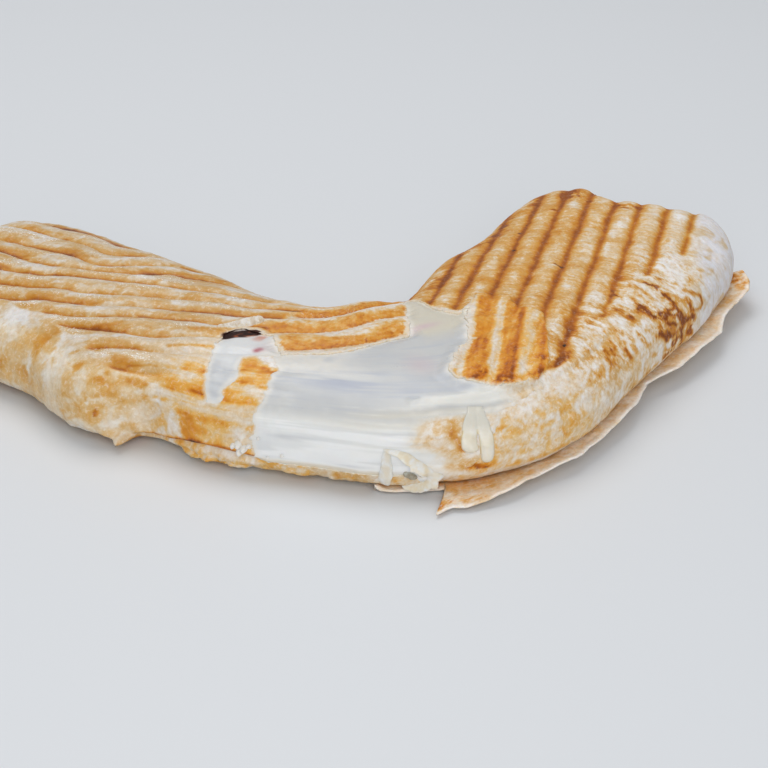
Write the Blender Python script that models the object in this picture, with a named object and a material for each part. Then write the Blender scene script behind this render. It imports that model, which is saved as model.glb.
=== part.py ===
"""Grilled vegetable wrap, bent into a crescent, with its skin torn open round the bend.

Everything follows one curved centre line: a straight left arm, a round bend and a straight
right arm.  A section runs round that line.  In a section the angle PHI is 0 at the outer side,
90 on top, 180 at the inner side and 270 underneath.  Lengths are millimetres until the last step.
"""
import bpy
import bmesh
import numpy as np

MM = 0.001
ORIGIN = (-16.37, 12.60)

# Centre line
LEFT_ARM = 113.0
RIGHT_ARM = 100.5
BEND_RADIUS = 47.8
BEND_ANGLE = np.radians(104.9)
HEADING = np.radians(-40.7)
BEND_CORNER = np.array([7.9, -61.8])
LENGTH = LEFT_ARM + BEND_RADIUS * BEND_ANGLE + RIGHT_ARM

# Section half widths and height, as (distance along the centre line, value)
INNER_WIDTH = [(0, 31.0), (20, 35.0), (48, 35.8), (73, 36.7), (98, 35.6), (118, 40.9), (143, 45.6),
               (158, 46.2), (173, 44.8), (188, 40.6), (203, 36.2), (218, 37.4), (233, 38.8),
               (253, 35.0), (273, 36.0), (298, 34.0)]
OUTER_WIDTH = [(0, 31.5), (28, 31.9), (44, 32.1), (56, 31.8), (68, 31.8), (80, 34.6), (94, 35.4),
               (106, 27.2), (123, 25.2), (138, 24.9), (153, 29.8), (168, 35.1), (183, 35.6),
               (198, 33.2), (213, 34.4), (228, 35.7), (243, 37.4), (258, 37.1), (278, 36.0),
               (298, 30.5)]
HEIGHT = [(0, 25.2), (58, 25.3), (112, 25.9), (153, 27.1), (198, 26.6), (248, 25.5), (298, 25.0)]
WIDEST_LEVEL = 0.42
FLATTENING = 0.9
END_ROUNDING = 16.0
END_SEAM = 0.13
EDGE_LIFT = 4.5
# How far the right end stands out, as (lateral place, extra length)
END_OUTLINE = [(-36, -2.5), (-28, 0.6), (-21, 1.6), (-14, -2.4), (-8, -4.0), (0, -6.0), (6, -6.0),
               (11, -3.4), (15, 0.6), (18, 2.0), (22, 1.6), (27, 3.0), (34, 2.2)]

# Skin and filling
SKIN = 2.2
FOLDED_END = 5.2
CLEARANCE = 0.3
FILLING_BULGE = 0.5
PITCH = 7.8
GROOVE = 1.1
# Left arm: places of the valleys across it, and how the far ones fan out along it
LEFT_LINES = [-61, -54, -48, -41, -33, -25, -18.5, -11.3, -4.5, 1.2, 9.5, 19.5, 30]
FAN = [(-120, 7), (-107, 4), (-98, 1.5), (-90, -1.5), (-86, -3.6), (-73, -0.5), (-62, 5)]

# Tear across the bend, as (PHI, start, end) rows; the first one is the big opening,
# the second the narrow gap that leaves a scrap of skin standing between them
TEAR = [(-13, 131.0, 160.0), (-6, 131.2, 161.0), (0, 130.4, 163.6), (8, 130.8, 165.2),
        (16, 131.2, 166.3), (24, 130.9, 168.2), (32, 131.7, 169.3), (37, 131.3, 173.0),
        (41, 131.8, 178.6), (43, 131.4, 178.0), (46, 132.0, 174.2), (50, 131.7, 170.6),
        (56, 132.3, 167.3), (62, 131.8, 165.9), (66, 132.2, 164.8), (72, 131.3, 167.2),
        (77, 129.8, 168.8), (80, 129.2, 170.9), (83, 131.5, 173.3), (85, 136.0, 175.4),
        (87, 144.0, 176.8), (90, 150.5, 178.9), (93, 157.6, 182.4), (95, 164.6, 185.6),
        (98, 166.2, 189.3), (100, 166.9, 185.8), (103, 168.0, 183.7), (107, 170.2, 184.8),
        (112, 173.5, 186.9), (118, 177.4, 189.2), (126, 181.0, 191.3), (134, 183.6, 192.0)]
GAP = [(23, 121.4, 123.6), (28, 121.2, 124.4), (36, 120.6, 123.9), (43, 120.1, 124.0),
       (50, 119.0, 125.2), (56, 117.9, 125.0), (62, 117.2, 124.1), (69, 116.4, 123.8),
       (74, 115.2, 123.2), (77, 114.5, 124.6), (79, 114.1, 128.3), (80.5, 113.8, 130.0),
       (84, 112.9, 130.2), (88, 112.1, 129.2), (91, 112.6, 126.1), (92.5, 114.0, 124.0)]

# Loose bottom layer: (distance, lateral place of its free edge, level of that edge)
LOOSE_EDGE = [(150, 26.0, 1.2), (153, 30.5, 1.4), (156, 31.0, 1.4), (158, 29.8, 1.2),
              (159, 41.0, 0.6), (162, 41.0, 0.6), (164.5, 41.0, 1.2), (168, 40.3, 2.2),
              (172, 39.8, 3.0), (177, 38.8, 4.0), (182, 36.8, 4.2), (188, 34.6, 4.3),
              (197, 32.6, 4.3), (205, 32.2, 4.4), (212, 33.2, 4.6), (218, 35.3, 4.9),
              (226, 38.0, 5.3), (236, 40.4, 5.7), (243, 41.2, 5.8), (249, 41.6, 5.9),
              (256, 39.8, 6.0), (267, 38.4, 6.4), (276, 38.8, 6.9), (282, 39.2, 7.3),
              (286, 38.0, 7.6), (288, 35.6, 7.8)]
LOOSE_INNER = [(150, 0.84), (175, 0.8), (200, 0.52), (290, 0.5)]
LOOSE_THICKNESS = 1.1

# Melted cheese running over the right edge of the tear, two lobes
DRIP = [(0.5, 165.6, 167.8), (3, 164.4, 169.0), (8, 163.6, 169.6), (15, 163.9, 169.3),
        (24, 164.3, 169.7), (33, 164.9, 170.5), (40, 166.3, 169.6)]


def table(s, knots):
    """Smooth curve through (distance, value) knots."""
    k, v = np.array(knots, float).T
    slope = np.gradient(v, k)
    s = np.clip(s, k[0], k[-1])
    i = np.clip(np.searchsorted(k, s, side="right") - 1, 0, len(k) - 2)
    d = k[i + 1] - k[i]
    t = (s - k[i]) / d
    start = (2 * t ** 3 - 3 * t ** 2 + 1) * v[i] + (t ** 3 - 2 * t ** 2 + t) * d * slope[i]
    end = (3 * t ** 2 - 2 * t ** 3) * v[i + 1] + (t ** 3 - t ** 2) * d * slope[i + 1]
    return start + end


def smooth(x):
    x = np.clip(x, 0, 1)
    return x * x * (3 - 2 * x)


def power(x, p):
    return np.sign(x) * np.abs(x) ** p


def spine(s):
    """Point, direction along and direction towards the inner side."""
    turn = HEADING + np.clip((s - LEFT_ARM) / BEND_RADIUS, 0, BEND_ANGLE)
    along = np.stack([np.cos(turn), np.sin(turn)], -1)
    inward = np.stack([-np.sin(turn), np.cos(turn)], -1)
    first = np.array([np.cos(HEADING), np.sin(HEADING)])
    start = BEND_CORNER - BEND_RADIUS * np.tan(BEND_ANGLE / 2) * first
    centre = start + BEND_RADIUS * np.array([-first[1], first[0]])
    straight = np.minimum(s - LEFT_ARM, 0) + np.maximum(s - LENGTH + RIGHT_ARM, 0)
    return centre - BEND_RADIUS * inward + along * straight[..., None], along, inward


def body(s, phi, inset=0.0):
    """Smooth surface of the wrap, INSET below its skin."""
    s, phi, inset = np.broadcast_arrays(np.asarray(s, float), np.radians(phi), inset)
    place, along, inward = spine(s)
    reach = END_ROUNDING - inset
    near = np.maximum((END_ROUNDING - s) / reach, (s - LENGTH + END_ROUNDING) / reach)
    close = np.maximum((1 - np.clip(near, 0, 1) ** 2.4) ** (1 / 2.4), END_SEAM)
    cos, sin = np.cos(phi), np.sin(phi)
    half = np.where(cos > 0, table(s, OUTER_WIDTH), table(s, INNER_WIDTH)) - inset
    height = table(s, HEIGHT)
    mid = WIDEST_LEVEL * height
    lat = -power(cos, 2 / 2.6) * half * (0.35 + 0.65 * close)
    top = mid + (height - mid - inset) * np.abs(sin) ** (2 / 2.6)
    low = np.maximum(0, mid - (mid + FLATTENING) * np.abs(sin) ** 0.5)
    low = low + EDGE_LIFT * smooth((s - 160) / 40) * smooth((-lat - 10) / 22) * (1 - low / mid)
    low = inset + low * (mid - inset) / mid
    z = mid + (np.where(sin > 0, top, low) - mid) * close
    corner = table(lat, END_OUTLINE) * smooth((s - LENGTH + 22) / 22)
    corner = np.where(inset > 0, 0, corner)
    flat = place + inward * lat[..., None] + along * corner[..., None]
    return np.concatenate([flat, z[..., None]], -1), lat


def groove(phase):
    """One groove at every whole number."""
    return (0.5 + 0.5 * np.cos(2 * np.pi * phase)) ** 1.6


def relief(s, phi, point, lat):
    """Height of the skin over the smooth body: grill grooves, the lifted flap and lumps."""
    x, y = point[..., 0], point[..., 1]
    across = 0.242 * x + 0.970 * y
    across = across - smooth((across + 2) / 8) * table(0.970 * x - 0.242 * y, FAN)
    left = np.interp(across, LEFT_LINES, np.arange(len(LEFT_LINES)))
    right = (0.974 * x - 0.225 * y - 11.94) / PITCH
    strip = (lat - 10 - 0.33 * (s - 127)) / 12
    phase = np.where(s < 148, left, right)
    on_strip = smooth((s - 118) / 4) * smooth((190 - s) / 4) * smooth((phi - 79) / 3)
    depth = groove(phase) * (1 - on_strip) + 1.2 * groove(strip) * on_strip
    lower = table(s, [(0, 48), (60, 52), (80, 48), (100, 32), (118, 8), (134, 8), (165, 45),
                      (184, 44), (200, 50), (222, 62), (301, 64)])
    pressed = smooth((phi - lower) / 9)
    pressed = pressed * smooth(s / 14) * smooth((LENGTH - s) / 12)
    flap = smooth((s - 160) / 2) * smooth((phi - 43) / 3) * smooth((106 - phi) / 2)
    flap = flap * np.where(phi > 87, smooth((200 - s) / 2.5), smooth((198 - s) / 14))
    shoulder = smooth((s - 160) / 4) * smooth((214 - s) / 20)
    shoulder = shoulder * smooth((phi - 4) / 8) * smooth((46 - phi) / 4)
    lumps = 0.35 * np.sin(x / 5.3 + y / 9.1) * np.sin(y / 6.7 - x / 11)
    top = smooth(phi / 15) * smooth((150 - phi) / 25)
    return 1.1 * flap - 0.7 * shoulder + (lumps - GROOVE * depth * pressed) * top


def skin(s, phi):
    """Outer surface of the skin with its relief."""
    point, lat = body(s, phi)
    step = 0.05
    ahead, _ = body(s + step, phi)
    beside, _ = body(s, phi + step)
    normal = np.cross(beside - point, ahead - point)
    size = np.linalg.norm(normal, axis=-1, keepdims=True)
    normal = normal / np.maximum(size, 1e-9)
    middle = np.broadcast_to(spine(np.asarray(s, float))[0], point[..., :2].shape)
    side = np.sum((point[..., :2] - middle) * normal[..., :2], -1)
    side = side + (point[..., 2] - 11) * normal[..., 2]
    normal = normal * np.where(side < 0, -1, 1)[..., None]
    s, phi = np.broadcast_arrays(s, phi)
    rise = relief(s, phi, point, lat) * smooth(point[..., 2] / 4)
    return point + normal * rise[..., None]


def collection(name):
    made = bpy.data.collections.new(name)
    bpy.context.scene.collection.children.link(made)
    return made


def solid(name, grid, where):
    """Closed solid from rings of points; the end rings are capped."""
    rings, count = grid.shape[:2]
    shift = np.array([ORIGIN[0], ORIGIN[1], 0.0])
    points = (grid - shift).reshape(-1, 3) * MM
    faces = []
    for i in range(rings - 1):
        for j in range(count):
            k = (j + 1) % count
            low, high = i * count, (i + 1) * count
            faces.append((low + j, high + j, high + k, low + k))
    faces.append(tuple(range(count)))
    faces.append(tuple((rings - 1) * count + j for j in reversed(range(count))))
    mesh = bpy.data.meshes.new(name)
    mesh.from_pydata(points.tolist(), [], faces)
    work = bmesh.new()
    work.from_mesh(mesh)
    bmesh.ops.recalc_face_normals(work, faces=work.faces)
    work.to_mesh(mesh)
    work.free()
    made = bpy.data.objects.new(name, mesh)
    where.objects.link(made)
    return made


def patch(name, rows, outer, inner, where, columns=9, bulge=0.0):
    """Solid laid on the wrap between two depths, from (PHI, start, end) rows."""
    rings = []
    for n, (phi, start, end) in enumerate(rows):
        t = np.linspace(0, 1, columns)
        s = start + (end - start) * t
        across = np.sqrt(np.maximum(0, 1 - (2 * t - 1) ** 2))
        down = np.sqrt(max(0, 1 - (2 * n / (len(rows) - 1) - 1) ** 4))
        top, _ = body(s, phi, -(outer + bulge * across * down))
        low, _ = body(s, phi, -inner)
        rings.append(np.concatenate([top, low[::-1]]))
    return solid(name, np.array(rings), where)


def cut(target, cutter):
    step = target.modifiers.new("cut_" + cutter.name, "BOOLEAN")
    step.operation = "DIFFERENCE"
    step.solver = "EXACT"
    step.object = cutter


def paint(target, name, colour, roughness):
    material = bpy.data.materials.new(name)
    material.use_nodes = True
    shader = material.node_tree.nodes["Principled BSDF"]
    shader.inputs["Base Color"].default_value = (*colour, 1)
    shader.inputs["Roughness"].default_value = roughness
    target.data.materials.append(material)


def section_angles(top, low):
    """PHI values: evenly spaced across the top, fewer round the sides and below."""
    across = np.linspace(0.96, -0.96, top)
    upper = np.degrees(np.arccos(power(across, 1.3)))
    return np.concatenate([upper, low])


def filling_stations():
    """Distances and PHI values shared by the filling and the hollow it lies in."""
    s = np.concatenate([[FOLDED_END, 8.2, 12], np.linspace(18, 108, 10),
                        np.linspace(113, 194, 27), np.linspace(203, LENGTH - 18, 9),
                        LENGTH - np.array([12, 8.2, FOLDED_END])])
    phi = section_angles(17, [176, 190, 215, 245, 295, 325, 341, 352, 360])
    return s, np.where(phi > 330, phi - 360, phi)


def tear_points():
    """Points along the rims of both tears, at the depth of the filling."""
    rims = []
    for rows in (TEAR, GAP):
        phi, start, end = np.array(rows, float).T
        fine = np.linspace(phi[0], phi[-1], 120)
        for side in (start, end):
            rims.append(body(np.interp(fine, phi, side), fine, SKIN)[0])
        for row in (rows[0], rows[-1]):
            rims.append(body(np.linspace(row[1], row[2], 30), row[0], SKIN)[0])
    return np.concatenate(rims)


def inside_tear(s, phi):
    found = np.zeros(s.shape, bool)
    for rows in (TEAR, GAP):
        row_phi, start, end = np.array(rows, float).T
        here = (phi > row_phi[0]) & (phi < row_phi[-1])
        here &= (s > np.interp(phi, row_phi, start)) & (s < np.interp(phi, row_phi, end))
        found |= here
    return found


def build_tortilla(where, cutters):
    s = np.concatenate([[0, 1.2, 3, 6, 9.5, 13.5, 17.5], np.linspace(22, LENGTH - 22, 59),
                        LENGTH - np.array([17.5, 13.5, 9.5, 6, 3, 1.2, 0])])
    phi = section_angles(27, [175, 181, 190, 210, 245, 270, 295, 320, 338, 350, 358])
    phi = np.where(phi > 340, phi - 360, phi)
    wrap = solid("tortilla", skin(s[:, None], phi[None, :]), where)
    s, phi = filling_stations()
    inner, _ = body(s[:, None], phi[None, :], SKIN)
    cut(wrap, solid("cut_inside", inner, cutters))
    cut(wrap, patch("cut_tear", TEAR, 5, -SKIN - 1.5, cutters))
    cut(wrap, patch("cut_gap", GAP, 5, -SKIN - 1.4, cutters, columns=5))
    paint(wrap, "tortilla", (0.83, 0.66, 0.42), 0.6)


def build_filling(where):
    depth = SKIN + CLEARANCE
    s, phi = filling_stations()
    s = s[1:-1]
    grid_s, grid_phi = np.meshgrid(s, phi, indexing="ij")
    point, _ = body(grid_s, grid_phi, depth)
    rim = tear_points()
    gap = np.linalg.norm(point[:, :, None, :] - rim[None, None], axis=-1).min(-1)
    open_ = inside_tear(grid_s, grid_phi)
    rise = np.where(open_, smooth((gap - 3.6) / 4), 0)
    point, _ = body(grid_s, grid_phi, depth - (depth - FILLING_BULGE) * rise)
    paint(solid("filling", point, where), "filling", (0.93, 0.91, 0.86), 0.35)


def build_loose_edge(where):
    s = np.concatenate([np.arange(150, 164, 1.0), np.linspace(164, 288, 41)])
    rows = np.array(LOOSE_EDGE)
    edge = np.interp(s, rows[:, 0], rows[:, 1])
    level = np.interp(s, rows[:, 0], rows[:, 2])
    half = table(s, OUTER_WIDTH)
    inner = np.minimum(half * np.interp(s, *np.array(LOOSE_INNER).T), edge - 3)
    place, _, inward = spine(s)
    under, lat = body(s[:, None], np.linspace(-88, -1, 200)[None, :])
    t = np.linspace(0, 1, 6)
    rings = []
    for i in range(len(s)):
        out = inner[i] + (edge[i] - inner[i]) * t
        room = np.interp(out, -lat[i], under[i, :, 2])
        room = np.where(out > half[i] - 0.2, 99, room) - CLEARANCE
        thick = np.where(t < 0.99, LOOSE_THICKNESS, 0.7)
        z = 0.15 + (level[i] - 0.15) * t ** 1.4 + 0.35 * np.sin(s[i] / 2.7) * t ** 2
        z = np.maximum(np.minimum(z, room - 0.15 - thick), 0)
        thick = np.minimum(thick, room + 0.1 - z)
        flat = place[i] - inward[i] * out[:, None]
        low = np.concatenate([flat, z[:, None]], 1)
        high = np.concatenate([flat, (z + thick)[:, None]], 1)
        rings.append(np.concatenate([low, high[::-1]]))
    paint(solid("loose_edge", np.array(rings), where), "loose_edge", (0.80, 0.64, 0.43), 0.7)


def build_drip(where):
    fine = np.linspace(DRIP[0][0], DRIP[-1][0], 15)
    phi, start, end = np.array(DRIP).T
    rows = list(zip(fine, np.interp(fine, phi, start), np.interp(fine, phi, end)))
    drip = patch("cheese_drip", rows, 0.75, 0.35, where, columns=9, bulge=1.0)
    paint(drip, "cheese_drip", (0.95, 0.88, 0.68), 0.25)


def main():
    for item in list(bpy.data.objects):
        bpy.data.objects.remove(item)
    parts = collection("vegetable_wrap")
    cutters = collection("cutters")
    build_tortilla(parts, cutters)
    build_filling(parts)
    build_loose_edge(parts)
    build_drip(parts)
    for item in cutters.objects:
        item.hide_render = True
        item.display_type = "WIRE"


main()
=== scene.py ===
"""Looks of the grilled wrap: torn skin with grill ridges, cheese filling, drip, loose edge.

The wrap follows the same curved centre line as its solids.  S runs along that line in
millimetres, PHI round the section in degrees: 0 outer side, 90 top, 180 inner, 270 below.
"""
import bpy
import numpy as np
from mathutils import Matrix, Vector, kdtree


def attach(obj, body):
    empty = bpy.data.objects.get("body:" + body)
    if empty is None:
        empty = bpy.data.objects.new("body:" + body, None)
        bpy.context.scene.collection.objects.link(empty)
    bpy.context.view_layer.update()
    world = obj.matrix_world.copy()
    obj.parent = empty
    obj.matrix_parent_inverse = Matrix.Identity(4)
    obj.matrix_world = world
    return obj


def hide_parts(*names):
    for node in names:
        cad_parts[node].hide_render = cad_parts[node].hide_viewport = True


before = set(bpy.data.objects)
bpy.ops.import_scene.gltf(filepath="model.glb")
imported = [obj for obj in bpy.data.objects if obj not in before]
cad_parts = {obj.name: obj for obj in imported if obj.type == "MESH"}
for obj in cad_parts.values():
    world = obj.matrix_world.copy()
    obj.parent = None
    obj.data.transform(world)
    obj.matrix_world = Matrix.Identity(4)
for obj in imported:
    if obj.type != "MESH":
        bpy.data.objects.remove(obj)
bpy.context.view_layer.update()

MM = 0.001
ORIGIN = np.array([-16.37, 12.60, 0.0])

# Centre line and sections, as in the part
LEFT_ARM = 113.0
RIGHT_ARM = 100.5
BEND_RADIUS = 47.8
BEND_ANGLE = np.radians(104.9)
HEADING = np.radians(-40.7)
BEND_CORNER = np.array([7.9, -61.8])
LENGTH = LEFT_ARM + BEND_RADIUS * BEND_ANGLE + RIGHT_ARM
INNER_WIDTH = [(0, 31.0), (20, 35.0), (48, 35.8), (73, 36.7), (98, 35.6), (118, 40.9), (143, 45.6),
               (158, 46.2), (173, 44.8), (188, 40.6), (203, 36.2), (218, 37.4), (233, 38.8),
               (253, 35.0), (273, 36.0), (298, 34.0)]
OUTER_WIDTH = [(0, 31.5), (28, 31.9), (44, 32.1), (56, 31.8), (68, 31.8), (80, 34.6), (94, 35.4),
               (106, 27.2), (123, 25.2), (138, 24.9), (153, 29.8), (168, 35.1), (183, 35.6),
               (198, 33.2), (213, 34.4), (228, 35.7), (243, 37.4), (258, 37.1), (278, 36.0),
               (298, 30.5)]
HEIGHT = [(0, 25.2), (58, 25.3), (112, 25.9), (153, 27.1), (198, 26.6), (248, 25.5), (298, 25.0)]
# Sections and ends are superellipses.  END_WIDTH, WIDEST_LEVEL and END_SEAM are shares of the
# full width and height, the other levels and lengths are in mm.
SQUARENESS = 2.6
END_SQUARENESS = 2.4
END_WIDTH = 0.35
MIDDLE_LEVEL = 11
WIDEST_LEVEL = 0.42
FLATTENING = 0.9
END_ROUNDING = 16.0
END_SEAM = 0.13
EDGE_LIFT = 4.5
END_OUTLINE = [(-36, -2.5), (-28, 0.6), (-21, 1.6), (-14, -2.4), (-8, -4.0), (0, -6.0), (6, -6.0),
               (11, -3.4), (15, 0.6), (18, 2.0), (22, 1.6), (27, 3.0), (34, 2.2)]
# In mm: from ridge to ridge, along one degree of PHI, where the arms' ridges meet, and how
# deep the cheese lies below a rim
PITCH = 7.8
PHI_MM = 0.62
ARMS_MEET = 148
CHEESE_DEPTH = 0.38

TEAR = [(-13, 131.0, 160.0), (-6, 131.2, 161.0), (0, 130.4, 163.6), (8, 130.8, 165.2),
        (16, 131.2, 166.3), (24, 130.9, 168.2), (32, 131.7, 169.3), (37, 131.3, 173.0),
        (41, 131.8, 178.6), (43, 131.4, 178.0), (46, 132.0, 174.2), (50, 131.7, 170.6),
        (56, 132.3, 167.3), (62, 131.8, 165.9), (66, 132.2, 164.8), (72, 131.3, 167.2),
        (77, 129.8, 168.8), (80, 129.2, 170.9), (83, 131.5, 173.3), (85, 136.0, 175.4),
        (87, 144.0, 176.8), (90, 150.5, 178.9), (93, 157.6, 182.4), (95, 164.6, 185.6),
        (98, 166.2, 189.3), (100, 166.9, 185.8), (103, 168.0, 183.7), (107, 170.2, 184.8),
        (112, 173.5, 186.9), (118, 177.4, 189.2), (126, 181.0, 191.3), (134, 183.6, 192.0)]
GAP = [(23, 121.4, 123.6), (28, 121.2, 124.4), (36, 120.6, 123.9), (43, 120.1, 124.0),
       (50, 119.0, 125.2), (56, 117.9, 125.0), (62, 117.2, 124.1), (69, 116.4, 123.8),
       (74, 115.2, 123.2), (77, 114.5, 124.6), (79, 114.1, 128.3), (80.5, 113.8, 130.0),
       (84, 112.9, 130.2), (88, 112.1, 129.2), (91, 112.6, 126.1), (92.5, 114.0, 124.0)]
FLAP = [(163, 64), (166, 57), (169, 51), (172, 47.5), (175, 45), (179, 45.5), (183, 53),
        (187, 63), (193, 73), (199, 80), (199, 89), (203, 92), (203, 97), (201, 103),
        (189, 99), (180, 96), (168, 84)]
# Loose bottom layer: (distance, how far out its free edge lies, level of that edge)
LOOSE_RIM = [(150.6, 27.2, 0.9), (152.5, 28.6, 1.0), (156, 29.3, 1.0), (161.65, 30.6, 0.8),
             (161.75, 42.2, 0.8), (163.3, 39.8, 0.9),
             (164.9, 41.0, 1.0), (167, 40.7, 1.6), (168.5, 40.3, 2.2), (170.5, 39.4, 2.8),
             (172.6, 38.1, 3.3), (175, 37.6, 3.7), (177.5, 37.5, 3.9), (181.3, 38.0, 4.1),
             (184.7, 36.4, 4.3), (187.7, 36.0, 4.4), (191, 35.3, 4.5), (195, 35.2, 4.7),
             (203, 34.6, 5.0), (211, 33.8, 5.1), (217, 35.6, 5.3), (224, 38.2, 5.6),
             (234.7, 40.3, 5.8), (245.4, 41.4, 6.0), (250, 41.7, 6.0), (258, 40.0, 6.2),
             (269.5, 40.3, 6.6), (279, 40.7, 7.2), (283, 39.8, 7.5), (288.5, 36.0, 8.0)]
LOOSE_INNER = [(150, .84), (175, .8), (200, .52), (290, .5)]

# Places of the ridge valleys on the left arm, and how they fan out towards its far side
LEFT_LINES = [-61, -54, -48, -41, -33, -25, -18.5, -11.3, -4.5, 1.2, 9.5, 19.5, 30]
FAN = [(-120, 7), (-107, 4), (-98, 1.5), (-90, -1.5), (-86, -3.6), (-73, -0.5), (-62, 5)]
STRIP_LINE = [(118, 7), (124, 8.2), (136, 12), (146, 15), (161, 19), (169, 19.5), (190, 20)]

# Colours, as 0-255 display values: how dough looks from raw and floury (0) to charred (1)
TOAST = [(0.00, (240, 236, 233)), (0.14, (230, 217, 200)), (0.28, (223, 192, 146)),
         (0.42, (215, 165, 90)), (0.56, (206, 139, 46)), (0.70, (180, 104, 22)),
         (0.82, (142, 74, 16)), (0.92, (100, 52, 18)), (1.00, (56, 30, 16))]


# ---------------------------------------------------------------- numbers

def smooth(x):
    x = np.clip(x, 0, 1)
    return x * x * (3 - 2 * x)


def grow(x, start, width):
    """0 before START, 1 from WIDTH after it."""
    return smooth((x - start) / width)


def fade(x, end, width):
    """1 until WIDTH before END, 0 from END."""
    return smooth((end - x) / width)


def span(x, start, growing, end, fading):
    """1 between START and END, growing and fading over those widths."""
    return grow(x, start, growing) * fade(x, end, fading)


def power(x, p):
    return np.sign(x) * np.abs(x) ** p


def bell(x, centre, width):
    return np.exp(-((x - centre) / width) ** 2)


def stack(*parts):
    """Coordinates from arrays or numbers, one for each axis."""
    return np.stack(np.broadcast_arrays(*parts), -1)


def unit(vectors):
    return vectors / np.maximum(np.linalg.norm(vectors, axis=-1, keepdims=True), 1e-9)


def table(s, knots):
    """Smooth curve through (distance, value) knots."""
    k, v = np.array(knots, float).T
    slope = np.gradient(v, k)
    s = np.clip(s, k[0], k[-1])
    i = np.clip(np.searchsorted(k, s, side="right") - 1, 0, len(k) - 2)
    d = k[i + 1] - k[i]
    t = (s - k[i]) / d
    start = (2 * t ** 3 - 3 * t ** 2 + 1) * v[i] + (t ** 3 - 2 * t ** 2 + t) * d * slope[i]
    end = (3 * t ** 2 - 2 * t ** 3) * v[i + 1] + (t ** 3 - t ** 2) * d * slope[i + 1]
    return start + end


HASH = np.random.default_rng(7).permutation(1024)


def value_noise(points):
    base = np.floor(points).astype(int)
    f = points - base
    f = f * f * f * (f * (f * 6 - 15) + 10)
    total = 0.0
    for dx in (0, 1):
        one = HASH[(base[..., 0] + dx) & 1023]
        wx = f[..., 0] if dx else 1 - f[..., 0]
        for dy in (0, 1):
            two = HASH[(one + base[..., 1] + dy) & 1023]
            wy = wx * (f[..., 1] if dy else 1 - f[..., 1])
            for dz in (0, 1):
                three = HASH[(two + base[..., 2] + dz) & 1023] / 1023
                total += wy * (f[..., 2] if dz else 1 - f[..., 2]) * three
    return total * 2 - 1


# Turned between octaves, so that the noise shows no direction of its own
TWIST = np.array([[0.36, 0.48, -0.80], [-0.80, 0.60, 0.0], [0.48, 0.64, 0.60]])


def noise(points, size, octaves=3, seed=0.0, keep=0.55):
    """Fractal noise, about -1 to 1; SIZE in mm, one number or one for each axis."""
    total, weight, norm = 0.0, 1.0, 0.0
    place = points / np.asarray(size, float) + 31.7 * seed
    for _ in range(octaves):
        total += weight * value_noise(place)
        norm += weight
        weight *= keep
        place = place @ TWIST * 2.03 + 9.1
    return 1.5 * total / norm


def three_noises(points):
    """Three noises 5 mm wide, one for each axis."""
    return stack(*(noise(points, 5, 2, seed) for seed in (43, 44, 45)))


def mix(a, b, t):
    t = np.clip(t, 0, 1)[..., None]
    return np.asarray(a, float) * (1 - t) + np.asarray(b, float) * t


def toasted(level):
    """Colour of dough toasted to LEVEL, 0 to 1."""
    at, colours = zip(*TOAST)
    colours = np.array(colours, float)
    return stack(*(np.interp(level, at, shades) for shades in colours.T))


def linear(colour):
    c = np.clip(np.asarray(colour, float) / 255, 0, 1)
    return np.where(c < 0.04045, c / 12.92, ((c + 0.055) / 1.055) ** 2.4)


# ---------------------------------------------------------------- the wrap's form

def spine(s):
    """Point, direction along and direction towards the inner side."""
    turn = HEADING + np.clip((s - LEFT_ARM) / BEND_RADIUS, 0, BEND_ANGLE)
    along, inward = stack(np.cos(turn), np.sin(turn)), stack(-np.sin(turn), np.cos(turn))
    first = np.array([np.cos(HEADING), np.sin(HEADING)])
    start = BEND_CORNER - BEND_RADIUS * np.tan(BEND_ANGLE / 2) * first
    centre = start + BEND_RADIUS * np.array([-first[1], first[0]])
    straight = np.minimum(s - LEFT_ARM, 0) + np.maximum(s - LENGTH + RIGHT_ARM, 0)
    return centre - BEND_RADIUS * inward + along * straight[..., None], along, inward


def body(s, phi):
    """Smooth surface of the wrap, and how far each of its points lies towards the inner side."""
    s, phi = np.broadcast_arrays(np.asarray(s, float), np.radians(phi))
    place, along, inward = spine(s)
    near = np.maximum(END_ROUNDING - s, s - LENGTH + END_ROUNDING) / END_ROUNDING
    close = (1 - np.clip(near, 0, 1) ** END_SQUARENESS) ** (1 / END_SQUARENESS)
    close = np.maximum(close, END_SEAM)
    cos, sin = np.cos(phi), np.sin(phi)
    half = np.where(cos > 0, table(s, OUTER_WIDTH), table(s, INNER_WIDTH))
    height = table(s, HEIGHT)
    mid = WIDEST_LEVEL * height
    lat = -power(cos, 2 / SQUARENESS) * half * (END_WIDTH + (1 - END_WIDTH) * close)
    top = mid + (height - mid) * np.abs(sin) ** (2 / SQUARENESS)
    low = np.maximum(0, mid - (mid + FLATTENING) * np.abs(sin) ** 0.5)
    low += EDGE_LIFT * grow(s, 160, 40) * fade(lat, -10, 22) * (1 - low / mid)
    z = mid + (np.where(sin > 0, top, low) - mid) * close
    corner = table(lat, END_OUTLINE) * grow(s, LENGTH - 22, 22)
    flat = place + inward * lat[..., None] + along * corner[..., None]
    return np.concatenate([flat, z[..., None]], -1), lat


def outward(s, phi):
    """Unit normals of the smooth surface."""
    step = 0.05
    point = body(s, phi)[0]
    normal = unit(np.cross(body(s + step, phi)[0] - point, body(s, phi + step)[0] - point))
    middle = np.broadcast_to(spine(np.asarray(s, float))[0], point[..., :2].shape)
    side = np.sum((point[..., :2] - middle) * normal[..., :2], -1)
    side += (point[..., 2] - MIDDLE_LEVEL) * normal[..., 2]
    return normal * np.where(side < 0, -1, 1)[..., None]


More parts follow.
